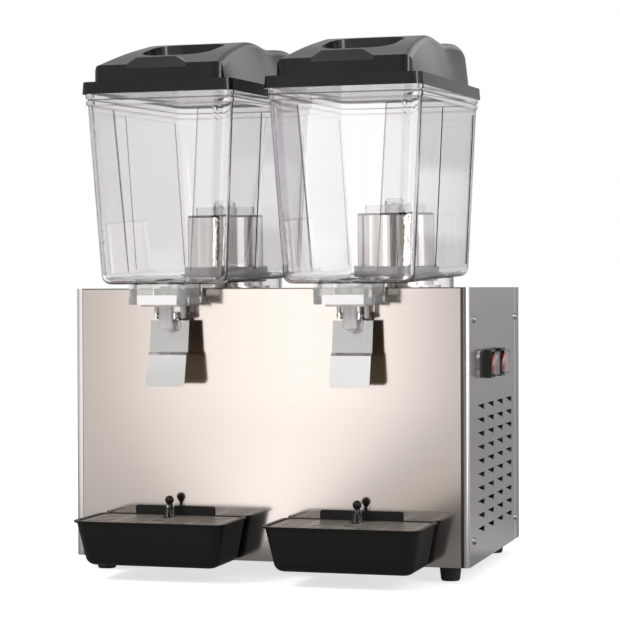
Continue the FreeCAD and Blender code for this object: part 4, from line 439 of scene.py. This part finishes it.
front_steel = brushed_steel(
    "warm_brushed_front", (0.525, 0.480, 0.448), (0.505, 0.460, 0.428), 0.11, (0.01, 1, 1)
)
side_steel = brushed_steel(
    "grey_brushed_side", (0.76, 0.75, 0.755), (0.72, 0.71, 0.715), 0.22, (1, 0.01, 1)
)
zinc_sheet = brushed_steel(
    "zinc_sheet", (0.60, 0.61, 0.62), (0.42, 0.43, 0.45), 0.42, (0.3, 0.3, 0.3)
)
polished_steel = brushed_steel(
    "polished_drum", (0.90, 0.88, 0.84), (0.86, 0.84, 0.80), 0.04, (0.02, 0.02, 1)
)
pin_steel = brushed_steel(
    "satin_pin", (0.80, 0.79, 0.77), (0.72, 0.71, 0.69), 0.2, (0.1, 1, 1)
)
motor_steel = brushed_steel(
    "motor_steel", (0.30, 0.31, 0.32), (0.20, 0.21, 0.22), 0.45, (1, 1, 0.1)
)
coil_aluminium = brushed_steel(
    "coil_aluminium", (0.80, 0.81, 0.82), (0.65, 0.66, 0.67), 0.3, (1, 1, 0.05)
)
copper_pipe = brushed_steel(
    "drawn_copper", (0.78, 0.42, 0.28), (0.55, 0.27, 0.17), 0.28, (0.2, 0.2, 0.2)
)
screw_steel = brushed_steel(
    "screw_steel", (0.45, 0.45, 0.45), (0.36, 0.36, 0.36), 0.28, (0.5, 0.5, 0.5)
)
spring_steel = brushed_steel(
    "spring_wire", (0.75, 0.75, 0.76), (0.6, 0.6, 0.61), 0.2, (0.5, 0.5, 0.5)
)

# %% [markdown]
# The lever of each tap is polished only on the side that a cup pushes, and its
# back is rougher. The back's dark colour is painted shade: the back faces the
# cabinet, and the front panel mirrors a nearly black lever. Which side is which
# comes from the direction that the surface faces.

# %% The levers
BACK_PAINTED_SHADE, BACK_START = (0.42, 0.35, 0.28), (0.2, 0.6)
LEVER_ROUGHNESS, LEVER_SPREAD, BACK_ROUGHER = 0.14, 0.06, 0.25
lever_steel = Finish("polished_lever", Metallic=1.0)
facing = lever_steel.node("ShaderNodeNewGeometry", out="Normal")
facing_back = lever_steel.node("ShaderNodeSeparateXYZ", values={0: facing}, out="XYZ".index("Y"))
backward = facing_back.between(*BACK_START)
fine_lines = lever_steel.noise(SCRATCHES, (1, 1, 0.02), detail=2.0)
polished = lever_steel.mix((0.84, 0.83, 0.81), (0.92, 0.91, 0.89), fine_lines)
# painted shade: the side of the lever that faces back is coloured dark
lever_steel.drive("Base Color", lever_steel.mix(polished, BACK_PAINTED_SHADE, backward))
rough = fine_lines * LEVER_SPREAD + LEVER_ROUGHNESS + backward * BACK_ROUGHER
lever_steel.drive("Roughness", rough)
print(f"levers: roughness {LEVER_ROUGHNESS} in front, {LEVER_ROUGHNESS + BACK_ROUGHER:.2f} behind")

# %% [markdown]
# ## Black plastic
# The lids are polished black plastic that mirrors the white room on its upper
# slopes. Handling leaves faint smears, so the roughness is a soft cloud. The
# trays come from a sandblasted mould, so they have a fine even grain instead,
# and the grates are a browner grey.

# %% The moulded plastics
SMEARS, SMEAR_SPREAD, GRAIN_BUMP = 14.0, 0.12, 0.25


def moulded(name, colour, dark, roughness, grain_scale, grain_depth, **fixed):
    """Plastic or rubber with a fine grain and soft smears."""
    plastic = Finish(name, **fixed)
    grain = plastic.noise(grain_scale, detail=3.0)
    smears = plastic.noise(SMEARS, (1, 1, 2), detail=3.0)
    plastic.drive("Base Color", plastic.mix(dark, colour, grain * 0.5 + smears * 0.5))
    plastic.drive("Roughness", smears * SMEAR_SPREAD + (roughness - SMEAR_SPREAD / 2))
    plastic.bump(grain, GRAIN_BUMP, grain_depth)
    print(f"{name}: roughness about {roughness}")
    return plastic


lid_black = moulded(
    "lid_black", (0.0075, 0.0075, 0.008), (0.005, 0.005, 0.0055), 0.14, 300, 0.00004
)
tray_black = moulded(
    "tray_black", (0.007, 0.007, 0.0065), (0.005, 0.005, 0.0045), 0.4, 1600, 0.0001,
    Specular_IOR_Level=0.25,
)
grate_grey = moulded(
    "grate_grey", (0.20, 0.172, 0.150), (0.12, 0.105, 0.093), 0.32, 900, 0.0001
)
foot_rubber = moulded(
    "foot_rubber", (0.02, 0.02, 0.02), (0.012, 0.012, 0.012), 0.55, 900, 0.0001
)
switch_black = moulded(
    "switch_black", (0.02, 0.02, 0.02), (0.012, 0.012, 0.012), 0.3, 1200, 0.00005
)
rocker_red = moulded(
    "rocker_red", (0.42, 0.02, 0.03), (0.30, 0.012, 0.02), 0.22, 900, 0.00003
)
compressor_black = moulded(
    "compressor_paint", (0.03, 0.03, 0.032), (0.02, 0.02, 0.02), 0.35, 400, 0.0001
)

# %% [markdown]
# ## Clear plastic
# The tanks, taps, float guides and switch covers are clear. The CAD walls have
# their true thickness, so real refraction gives the bright and dark lines at
# the rims and corners, and looking along a side wall dims the white behind it,
# as in the photograph. The tap block, the nozzle, the plunger, the stirrer and
# the silicone seal are a little milky, so part of the light stays in them and
# they show as pale bodies. The stirrer bends the light less than real plastic
# does, because the photograph shows it only as a faint shape.

# %% The clear plastics
PLASTIC_IOR, STIRRER_IOR = 1.49, 1.12
HAZE, HAZE_SPREAD, HAZE_DARKER = 9.0, 0.02, 0.985


def clear_plastic(name, tint, roughness, clearness=1.0):
    """Clear or milky plastic with a faint haze."""
    plastic = Finish(name, Transmission_Weight=clearness, IOR=PLASTIC_IOR)
    haze = plastic.noise(HAZE, detail=2.0)
    darker = tuple(value * HAZE_DARKER for value in tint)
    plastic.drive("Base Color", plastic.mix(darker, tint, haze))
    plastic.drive("Roughness", haze * HAZE_SPREAD + roughness)
    print(f"{name}: {clearness:.0%} clear")
    return plastic


tank_clear = clear_plastic("tank_clear", (0.915, 0.905, 0.918), 0.0)
tap_clear = clear_plastic("tap_clear", (0.93, 0.94, 0.92), 0.02, 0.85)
nozzle_clear = clear_plastic("nozzle_clear", (0.84, 0.82, 0.82), 0.12, 0.45)
guide_clear = clear_plastic("guide_clear", (0.95, 0.95, 0.95), 0.0)
stirrer_milky = clear_plastic("stirrer_milky", (0.99, 0.99, 0.985), 0.12, 0.85)
stirrer_milky.shader.inputs["IOR"].default_value = STIRRER_IOR
cover_clear = clear_plastic("cover_clear", (0.97, 0.97, 0.97), 0.03)
silicone = clear_plastic("pale_silicone", (0.96, 0.955, 0.95), 0.25, 0.6)

# %% [markdown]
# The front of each tank is pressed in, and the edge of that sunk part is a
# thin grey line on the photograph, because a small moulded fillet throws the
# light aside. The fillet is finer than a pixel, so here a line of greyer
# plastic follows the edge: it leans inwards towards the foot on both sides.
# Inside the line the mould was polished, and the plastic shines a little more,
# most of all on the right tank, which is a thin clear coat in the shader. Two
# more lines of painted shade run round each tank under the lid: one in the groove
# between the rim and the bead, and the bead's shade below it. The left tank is a
# little greyer than the right one in the photograph, and so is its plastic here.

# %% Lines on the tanks' fronts
LINE_FOOT, LINE_HEAD, LINE_FADE = 319.6 * MM, 485.5 * MM, 2 * MM
FOOT_HALF, HEAD_HALF = 34.0 * MM, 46.0 * MM
TANK_MIDDLE = 99.2 * MM
LINE_HALF, EDGE_SHADE_GREY = 0.5 * MM, (0.42, 0.41, 0.42)
FRONT_WALL = (-152 * MM, -150 * MM)
RIM_LEVEL, LID_FRONT, LEAN = 505.5 * MM, 165.9 * MM, math.radians(1.8)
GROOVE_DEPTH, GROOVE_SHADE_GREY = 8.0 * MM, (0.28, 0.27, 0.27)
SHADE_DEPTH, SHADE_HALF = 14.2 * MM, 0.8 * MM
SHADE_GREY, SHADE_SHARE = (0.62, 0.59, 0.60), 0.8
GREYER_LEFT, MIDDLE_FADE = (0.862, 0.852, 0.864), 0.01
COAT_IOR, LEFT_COAT, TANK_SHINE = 1.85, 0.3, 0.12
middle_x = (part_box("left_side_panel")[0].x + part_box("right_side_panel")[1].x) / 2

height = tank_clear.axis("Z")
from_middle = ((tank_clear.axis("X") - middle_x).size() - TANK_MIDDLE).size()
lean_in = (HEAD_HALF - FOOT_HALF) / (LINE_HEAD - LINE_FOOT)
half = (height - LINE_FOOT) * lean_in + FOOT_HALF
on_line = 1 - (from_middle - half).size().between(LINE_HALF, 2 * LINE_HALF)
on_front = 1 - tank_clear.axis("Y").between(*FRONT_WALL)
in_reach = height.between(LINE_FOOT - LINE_FADE, LINE_FOOT)
in_reach = in_reach * (1 - height.between(LINE_HEAD, LINE_HEAD + LINE_FADE))
on_right = tank_clear.axis("X").between(-MIDDLE_FADE, MIDDLE_FADE)
plain_clear = tank_clear.mix(GREYER_LEFT, tank_clear.colour(), on_right)
# painted shade: a grey line along the sunk part's edge, for the light its fillet throws aside
lined_clear = tank_clear.mix(plain_clear, EDGE_SHADE_GREY, on_line * on_front * in_reach)
below_rim = height - RIM_LEVEL - (tank_clear.axis("Y") + LID_FRONT) * math.tan(LEAN)
# painted shade: a dark line in the groove under the rim and a grey band under the bead
in_groove_shade = 1 - (below_rim + GROOVE_DEPTH).size().between(LINE_HALF, 2 * LINE_HALF)
in_shade = (1 - (below_rim + SHADE_DEPTH).size().between(SHADE_HALF, 2 * SHADE_HALF)) * SHADE_SHARE
groove_shaded = tank_clear.mix(lined_clear, GROOVE_SHADE_GREY, in_groove_shade)
tank_clear.drive("Base Color", tank_clear.mix(groove_shaded, SHADE_GREY, in_shade))
inside_line = (1 - (from_middle - half).between(-LINE_HALF, 0)) * on_front * in_reach
tank_clear.drive("Coat Weight", inside_line * (on_right * (1 - LEFT_COAT) + LEFT_COAT))
tank_clear.shader.inputs["Coat IOR"].default_value = COAT_IOR
tank_clear.shader.inputs["Specular IOR Level"].default_value = TANK_SHINE
print(f"tank lines: {2 * FOOT_HALF / MM:.0f} mm apart below, {2 * HEAD_HALF / MM:.0f} mm above")

# %% [markdown]
# The front sheet ends in a cut edge under the tanks, which shows as a fine dark
# line. The side panels fold round the front as narrow flanges. A thin dark
# joint line runs down the right one beside the front panel, and near the
# sheets' rear edge a band of the steel is painted lighter, a painted highlight.

# %% The edges of the front and of the right side panel
EDGE_LEVEL, EDGE_SOFT, CUT_EDGE = 300.9 * MM, 0.2 * MM, (0.10, 0.095, 0.09)
JOINT_LINE, JOINT_SOFT = (201.4 * MM, 204.0 * MM), (1 * MM, 0.5 * MM)
JOINT_SHADE, FLANGE_DEPTH = (0.07, 0.068, 0.065), -94.5 * MM
HIGHLIGHT_BAND, FOLD_SOFT, HIGHLIGHT_WHITE = (150.0 * MM, 158.0 * MM), 1 * MM, (1, 1, 1)
cut_edge = front_steel.axis("Z").between(EDGE_LEVEL - EDGE_SOFT, EDGE_LEVEL)
front_steel.drive("Base Color", front_steel.mix(front_steel.colour(), CUT_EDGE, cut_edge))
across, back = side_steel.axis("X"), side_steel.axis("Y")
in_joint = across.between(JOINT_LINE[1] + JOINT_SOFT[1], JOINT_LINE[1])
in_joint = in_joint * across.between(JOINT_LINE[0] - JOINT_SOFT[0], JOINT_LINE[0])
on_flange = 1 - back.between(FLANGE_DEPTH, FLANGE_DEPTH + FOLD_SOFT)
jointed = side_steel.mix(side_steel.colour(), JOINT_SHADE, in_joint * on_flange)
# painted highlight: a band of the side steel near its rear edge is made white
in_highlight = back.between(HIGHLIGHT_BAND[0] - FOLD_SOFT, HIGHLIGHT_BAND[0])
in_highlight = in_highlight * back.between(HIGHLIGHT_BAND[1] + FOLD_SOFT, HIGHLIGHT_BAND[1])
side_steel.drive("Base Color", side_steel.mix(jointed, HIGHLIGHT_WHITE, in_highlight))
print(f"edge line at {EDGE_LEVEL / MM:.1f} mm, joint line {JOINT_LINE[0] / MM:.1f} mm to the right")

# %% [markdown]
# The tap's block is clear, and a thick white ledge sits in its lower middle. One
# material holds both: a second shader of white plastic is mixed in under the
# level of the ledge and within its width.

# %% The tap's white ledge
LEDGE_TOP, LEDGE_HALF, LEDGE_SOFT = 295.0 * MM, 21.5 * MM, 0.5 * MM
LEDGE_CLOUDS, LEDGE_ROUGHNESS, LEDGE_SHARE = 60, 0.3, 0.9
tap_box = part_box("right_tap_body")
tap_middle = (tap_box[0].x + tap_box[1].x) / 2 - middle_x
cloudy = tap_clear.noise(LEDGE_CLOUDS)
cloudy_white = tap_clear.mix((0.82, 0.805, 0.785), (0.88, 0.865, 0.845), cloudy)
ledge = {"Base Color": cloudy_white, "Roughness": LEDGE_ROUGHNESS}
white_plastic = tap_clear.node("ShaderNodeBsdfPrincipled", values=ledge)
below_top = 1 - tap_clear.axis("Z").between(LEDGE_TOP - LEDGE_SOFT, LEDGE_TOP)
off_tap = ((tap_clear.axis("X") - middle_x).size() - tap_middle).size()
on_ledge = below_top * (1 - off_tap.between(LEDGE_HALF, LEDGE_HALF + LEDGE_SOFT))
tap_clear.blend_in(white_plastic, on_ledge * LEDGE_SHARE)
print(f"tap ledges: white under {LEDGE_TOP / MM:.0f} mm, {2 * LEDGE_HALF / MM:.0f} mm wide")

# %% [markdown]
# ## Dressing the CAD pieces
# Each CAD piece came in with one plain colour. Its own mesh stays as it is,
# and only the material in its slot is changed. Both sides of the machine are
# the same, so a name without its side is enough.

# %% Which piece has which finish
FINISHES = {
    front_steel: "front_panel top_deck",
    side_steel: "side_panel switch_plate",
    zinc_sheet: "rear_panel base_plate fan_shroud fan_motor_bracket control_box control_box_cover",
    polished_steel: "cooling_drum stirrer_shaft",
    lever_steel: "tap_lever",
    pin_steel: "lever_pin",
    lid_black: "lid",
    tray_black: "drip_tray drum_cap condenser_fan overflow_float",
    grate_grey: "tray_grate",
    silicone: "tank_seal",
    foot_rubber: "rubber_feet compressor_grommets",
    switch_black: "switch_bodies power_gland",
    rocker_red: "front_rocker rear_rocker",
    compressor_black: "compressor",
    coil_aluminium: "condenser",
    motor_steel: "fan_motor stirrer_motor",
    copper_pipe: "refrigerant_pipes",
    spring_steel: "valve_spring side_panel_screws",
    tank_clear: "tank",
    stirrer_milky: "stirrer",
    guide_clear: "float_guide",
    tap_clear: "tap_body",
    nozzle_clear: "tap_nozzle valve_plunger",
    cover_clear: "switch_covers",
}
finish_of = {name: finish for finish, names in FINISHES.items() for name in names.split()}
for name, piece in pieces.items():
    plain_name = name.removeprefix("left_").removeprefix("right_")
    for slot in piece.material_slots:
        slot.material = finish_of[plain_name].material
print(f"{len(pieces)} pieces dressed in {len(FINISHES)} finishes")

# %% [markdown]
# ## Shapes that repeat
# Three things are made here and not in the CAD model: the bent flap behind each
# vent, the screws of the side panels with their cross recesses, and the wound
# springs of the valves. Each is one shape that repeats, so Geometry Nodes does
# the repeating. A net has named inputs, is run once, and leaves a plain mesh.

# %% A Geometry Nodes net and how it is run
class Shape(Net):
    """A Geometry Nodes net with named inputs, run once into a plain mesh."""

    def __init__(self, name, **inputs):
        super().__init__(bpy.data.node_groups.new(name, "GeometryNodeTree"))
        sockets = self.tree.interface
        for label, kind in {"Geometry": "Geometry", **inputs, "Material": "Material"}.items():
            sockets.new_socket(label, in_out="INPUT", socket_type=f"NodeSocket{kind}")
        sockets.new_socket("Geometry", in_out="OUTPUT", socket_type="NodeSocketGeometry")
        self.entry = self.tree.nodes.new("NodeGroupInput")

    def given(self, label):
        return Wire(self, self.entry.outputs[label])

    def end(self, geometry):
        """The last nodes of every net: real copies with the given material."""
        real = self.node("GeometryNodeRealizeInstances", values={0: geometry})
        painted = self.node(
            "GeometryNodeSetMaterial", values={"Geometry": real, "Material": self.given("Material")}
        )
        self.tree.links.new(painted.socket, self.tree.nodes.new("NodeGroupOutput").inputs[0])

    def run(self, mesh, finish, **values):
        """Runs the net on a mesh, and gives an object with a plain mesh of that name."""
        maker = bpy.data.objects.new(mesh.name, mesh)
        bpy.context.scene.collection.objects.link(maker)
        modifier = maker.modifiers.new("shape", "NODES")
        modifier.node_group = self.tree
        values["Material"] = finish.material
        for socket in self.tree.interface.items_tree:
            if socket.in_out == "INPUT" and socket.name in values:
                modifier[socket.identifier] = values[socket.name]
        bpy.context.view_layer.update()
        grown = maker.evaluated_get(bpy.context.evaluated_depsgraph_get())
        plain_mesh = bpy.data.meshes.new_from_object(grown)
        maker.modifiers.remove(modifier)
        maker.data = plain_mesh
        print(f"{mesh.name}: {len(plain_mesh.polygons)} faces")
        return maker


# %% Copies in a grid
grid = Shape("grid_of_copies", Columns="Int", ColumnStep="Vector", Rows="Int", RowStep="Vector")
column, row = (
    grid.node("GeometryNodeMeshLine", values={
        "Count": grid.given(count), "Offset": grid.given(step),
    })
    for count, step in (("Columns", "ColumnStep"), ("Rows", "RowStep"))
)
spots = grid.node("GeometryNodeInstanceOnPoints", values={"Points": column, "Instance": row})
places = grid.node("GeometryNodeRealizeInstances", values={0: spots})
copies = {"Points": places, "Instance": grid.given("Geometry")}
grid.end(grid.node("GeometryNodeInstanceOnPoints", values=copies))
print("a net that repeats any shape in columns and rows")

# %% [markdown]
# Both side panels have the same vents and screws, so the shape that is repeated
# is a pair: one piece on the right panel and its mirror image on the left. Each
# piece is a skin over rings of points, closed at both ends.

# %% A mirrored pair
def mirrored_pair(name, rings, smooth):
    """A mesh of a skin over rings on the right panel, with its mirror image on the left."""
    mesh = bpy.data.meshes.new(name)
    skin = bmesh.new()
    for side in (1, -1):
        loops = [
            [skin.verts.new((middle_x + side * (x - middle_x), y, z)) for x, y, z in ring]
            for ring in rings
        ]
        for lower, upper in zip(loops, loops[1:]):
            for n, corner in enumerate(lower):
                after = (n + 1) % len(lower)
                skin.faces.new((corner, lower[after], upper[after], upper[n]))
        skin.faces.new(loops[0])
        skin.faces.new(loops[-1])
    bmesh.ops.recalc_face_normals(skin, faces=skin.faces)
    for face in skin.faces:
        face.smooth = smooth
    skin.to_mesh(mesh)
    skin.free()
    return mesh


print("a skin over rings, on both side panels")

# %% [markdown]
# The vents are lanced: a punch cuts the sheet along two sides of a small
# triangle and folds the triangle inwards about its longest side. The flap keeps
# the sheet's thickness, and its fold is a short curve. Each entry of FOLD_STEPS
# says how far across the flap a ring lies, and how much of the fold is done
# there.

# %% The vents' flaps
VENT_COLUMNS, VENT_ROWS = 4, 10
COLUMN_PITCH, ROW_PITCH = 51.0 * MM, 14.25 * MM
VENT_LENGTH, VENT_HEIGHT = 37.0 * MM, 7.0 * MM
FIRST_FRONT, FIRST_LEVEL = -56.4 * MM, 48.0 * MM
SHEET = 1.2 * MM
TIP_INSET, FOOT_INSET = 0.5 * MM, -0.8 * MM
FOLD = math.radians(76)
FOLD_STEPS = (
    (0.0, 0.0), (0.05, 0.25), (0.10, 0.5), (0.15, 0.75), (0.20, 1.0), (0.60, 1.0), (0.96, 1.0)
)
outer_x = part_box("right_side_panel")[1].x
tip = Vector((0, FIRST_FRONT, FIRST_LEVEL + VENT_HEIGHT / 2))
foot = tip + Vector((0, VENT_LENGTH, -VENT_HEIGHT))
free = tip + Vector((0, VENT_LENGTH, 0))
hinge = (foot - tip).normalized()
across = (free - tip) - hinge * (free - tip).dot(hinge)
inward = Vector((-1, 0, 0))
rings = []
flat, deep, last = 0.0, 0.0, 0.0
for share, bend in FOLD_STEPS:
    step = (share - last) * across.length
    angle = FOLD * bend
    flat, deep, last = flat + step * math.cos(angle), deep + step * math.sin(angle), share
    thick = (inward * math.cos(angle) - across.normalized() * math.sin(angle)) * SHEET
    ends = (
        tip.lerp(free, share) + hinge * TIP_INSET, foot.lerp(free, share) + hinge * FOOT_INSET
    )
    on_hinge = [tip + hinge * (end - tip).dot(hinge) for end in ends]
    outside = [spot + across.normalized() * flat + inward * deep for spot in on_hinge]
    ring = outside + [spot + thick for spot in reversed(outside)]
    rings.append([spot + Vector((outer_x, 0, 0)) for spot in ring])
flaps = grid.run(
    mirrored_pair("vent_flaps", rings, False), side_steel,
    Columns=VENT_COLUMNS, ColumnStep=(0.0, COLUMN_PITCH, 0.0),
    Rows=VENT_ROWS, RowStep=(0.0, 0.0, ROW_PITCH),
)
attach(flaps, "cabinet")
print(f"flaps: {2 * VENT_COLUMNS * VENT_ROWS}, folded {deep / MM:.1f} mm inwards")

# %% [markdown]
# Four pan head screws hold each side panel. The head is turned with a domed
# top, and the cross recess is pressed in. The rings go from the shank's end up
# over the head, take the outline of the cross and go down into it. TURNED has
# a radius and a distance from the panel for each round ring, and CROSSES has
# the cross's share of its full size and its depth under the head's top.

# %% The screws
HEAD_RADIUS, HEAD_HEIGHT = 4.0 * MM, 2.2 * MM
SHANK_RADIUS, SHANK_LENGTH = 2.0 * MM, 9.0 * MM
ARM_LENGTH, ARM_HALF = 1.9 * MM, 0.42 * MM
SCREW_Y, SCREW_Z = -73.9 * MM, 41.0 * MM
SCREW_STEP_Y, SCREW_STEP_Z = 230.0 * MM, 228.0 * MM
POINTS = 24
SHARP_EDGE = math.radians(35)
TURNED = (
    (SHANK_RADIUS * 0.7, -SHANK_LENGTH), (SHANK_RADIUS, -SHANK_LENGTH + 0.7 * MM),
    (SHANK_RADIUS, 0.0), (HEAD_RADIUS * 0.97, 0.0),
    (HEAD_RADIUS, 0.25 * MM), (HEAD_RADIUS * 0.96, HEAD_HEIGHT * 0.5),
    (HEAD_RADIUS * 0.84, HEAD_HEIGHT * 0.8), (HEAD_RADIUS * 0.66, HEAD_HEIGHT * 0.95),
)
CROSSES = ((1.0, 0.0), (0.94, 0.12 * MM), (0.62, 1.3 * MM))


def round_ring(radius, out):
    turns = [2 * math.pi * n / POINTS for n in range(POINTS)]
    return [
        (outer_x + out, SCREW_Y + radius * math.cos(t), SCREW_Z + radius * math.sin(t))
        for t in turns
    ]


def cross_ring(shrink, out):
    """The outline of a cross with as many points as a round ring."""
    long, short = ARM_LENGTH * shrink, ARM_HALF * shrink
    half_way = (long + short) / 2
    quarter = [
        (long, 0), (long, short), (half_way, short),
        (short, short), (short, half_way), (short, long),
    ]
    ring = []
    for turn in range(4):
        for y, z in quarter:
            for _ in range(turn):
                y, z = -z, y
            ring.append((outer_x + out, SCREW_Y + y, SCREW_Z + z))
    return ring


rings = [round_ring(radius, out) for radius, out in TURNED]
rings += [cross_ring(shrink, HEAD_HEIGHT - depth) for shrink, depth in CROSSES]
screws = grid.run(
    mirrored_pair("panel_screws", rings, True), screw_steel,
    Columns=2, ColumnStep=(0.0, SCREW_STEP_Y, 0.0), Rows=2, RowStep=(0.0, 0.0, SCREW_STEP_Z),
)
screws.data.set_sharp_from_angle(angle=SHARP_EDGE)
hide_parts("side_panel_screws")
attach(screws, "cabinet")
print(f"screws: 8, heads {2 * HEAD_RADIUS / MM:.0f} mm wide")

# %% [markdown]
# The return spring of each valve is wound from thin wire. At both ends the last
# turn lies nearly flat on its seat, and the turns between are open. A net winds
# it: a flat ring of turns is lifted along its length, slowly at the ends and
# fast in the middle, then the wire gets its thickness.

# %% A net that winds a spring
TURN_POINTS, WIRE_POINTS = 24, 10
SEAT_RISE = 2.2
wound = Shape(
    "wound_spring", CoilRadius="Float", WireRadius="Float", Rise="Float", Turns="Float",
    DeadShare="Float", Foot="Vector", Lean="Rotation",
)
flat_turns = wound.node("GeometryNodeCurveSpiral", values={
    "Resolution": TURN_POINTS, "Rotations": wound.given("Turns"), "Height": 0.0,
    "Start Radius": wound.given("CoilRadius"), "End Radius": wound.given("CoilRadius"),
})
along = wound.node("GeometryNodeSplineParameter")
dead = wound.given("DeadShare")
seat = wound.given("WireRadius") * SEAT_RISE
open_rise = wound.given("Rise") - seat * 2
ends_rise = along.between(0.0, dead, "LINEAR") + along.between(1 - dead, 1.0, "LINEAR")
risen = ends_rise * seat + along.between(dead, 1 - dead, "LINEAR") * open_rise
lift = wound.node("ShaderNodeCombineXYZ", values={"Z": risen})
lifted = wound.node("GeometryNodeSetPosition", values={"Geometry": flat_turns, "Offset": lift})
wire_ring = wound.node("GeometryNodeCurvePrimitiveCircle", values={
    "Resolution": WIRE_POINTS, "Radius": wound.given("WireRadius"),
})
wire_mesh = wound.node("GeometryNodeCurveToMesh", values={
    "Curve": lifted, "Profile Curve": wire_ring, "Fill Caps": True,
})
placed = wound.node("GeometryNodeTransform", values={
    "Geometry": wire_mesh, "Translation": wound.given("Foot"), "Rotation": wound.given("Lean"),
})
wound.end(wound.node("GeometryNodeSetShadeSmooth", values={"Geometry": placed}))
print("a net that winds a spring")

# %% [markdown]
# Each spring stands where the CAD model keeps its place, on the tap's floor and
# leaning with the tank. When the lever opens the valve, the plunger's collar
# presses it down by the plunger's way; here only the share of its height left is worked out.

# %% The valve springs
WIRE, COIL = 0.4 * MM, 4.6 * MM
SPRING_TURNS, DEAD_SHARE = 4.0, 0.2
joints = {joint["name"]: joint for joint in frame["joints"]}
for side in ("left", "right"):
    low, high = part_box(f"{side}_valve_spring")
    drop = joints[f"{side}_plunger_drop"]
    down = Vector(drop["axis"])
    lean = math.atan2(down.y, -down.z)
    rise = (high.z - low.z - 2 * WIRE - 2 * COIL * math.sin(lean)) / math.cos(lean)
    foot = (low + high) / 2 + down * (rise / 2)
    spring = wound.run(
        bpy.data.meshes.new(f"{side}_wound_spring"), spring_steel,
        CoilRadius=COIL, WireRadius=WIRE, Rise=rise, Turns=SPRING_TURNS, DeadShare=DEAD_SHARE,
        Foot=tuple(foot), Lean=(lean, 0.0, 0.0),
    )
    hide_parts(f"{side}_valve_spring")
    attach(spring, f"{side}_tank_unit")
    height_now = rise + 2 * WIRE
    keep = 1 - drop["range_m"][1] / height_now
    tuple(foot + down * WIRE)
    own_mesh(spring)
    print(f"{side} spring: {height_now / MM:.1f} mm high, pressed to {keep:.2f} of it")
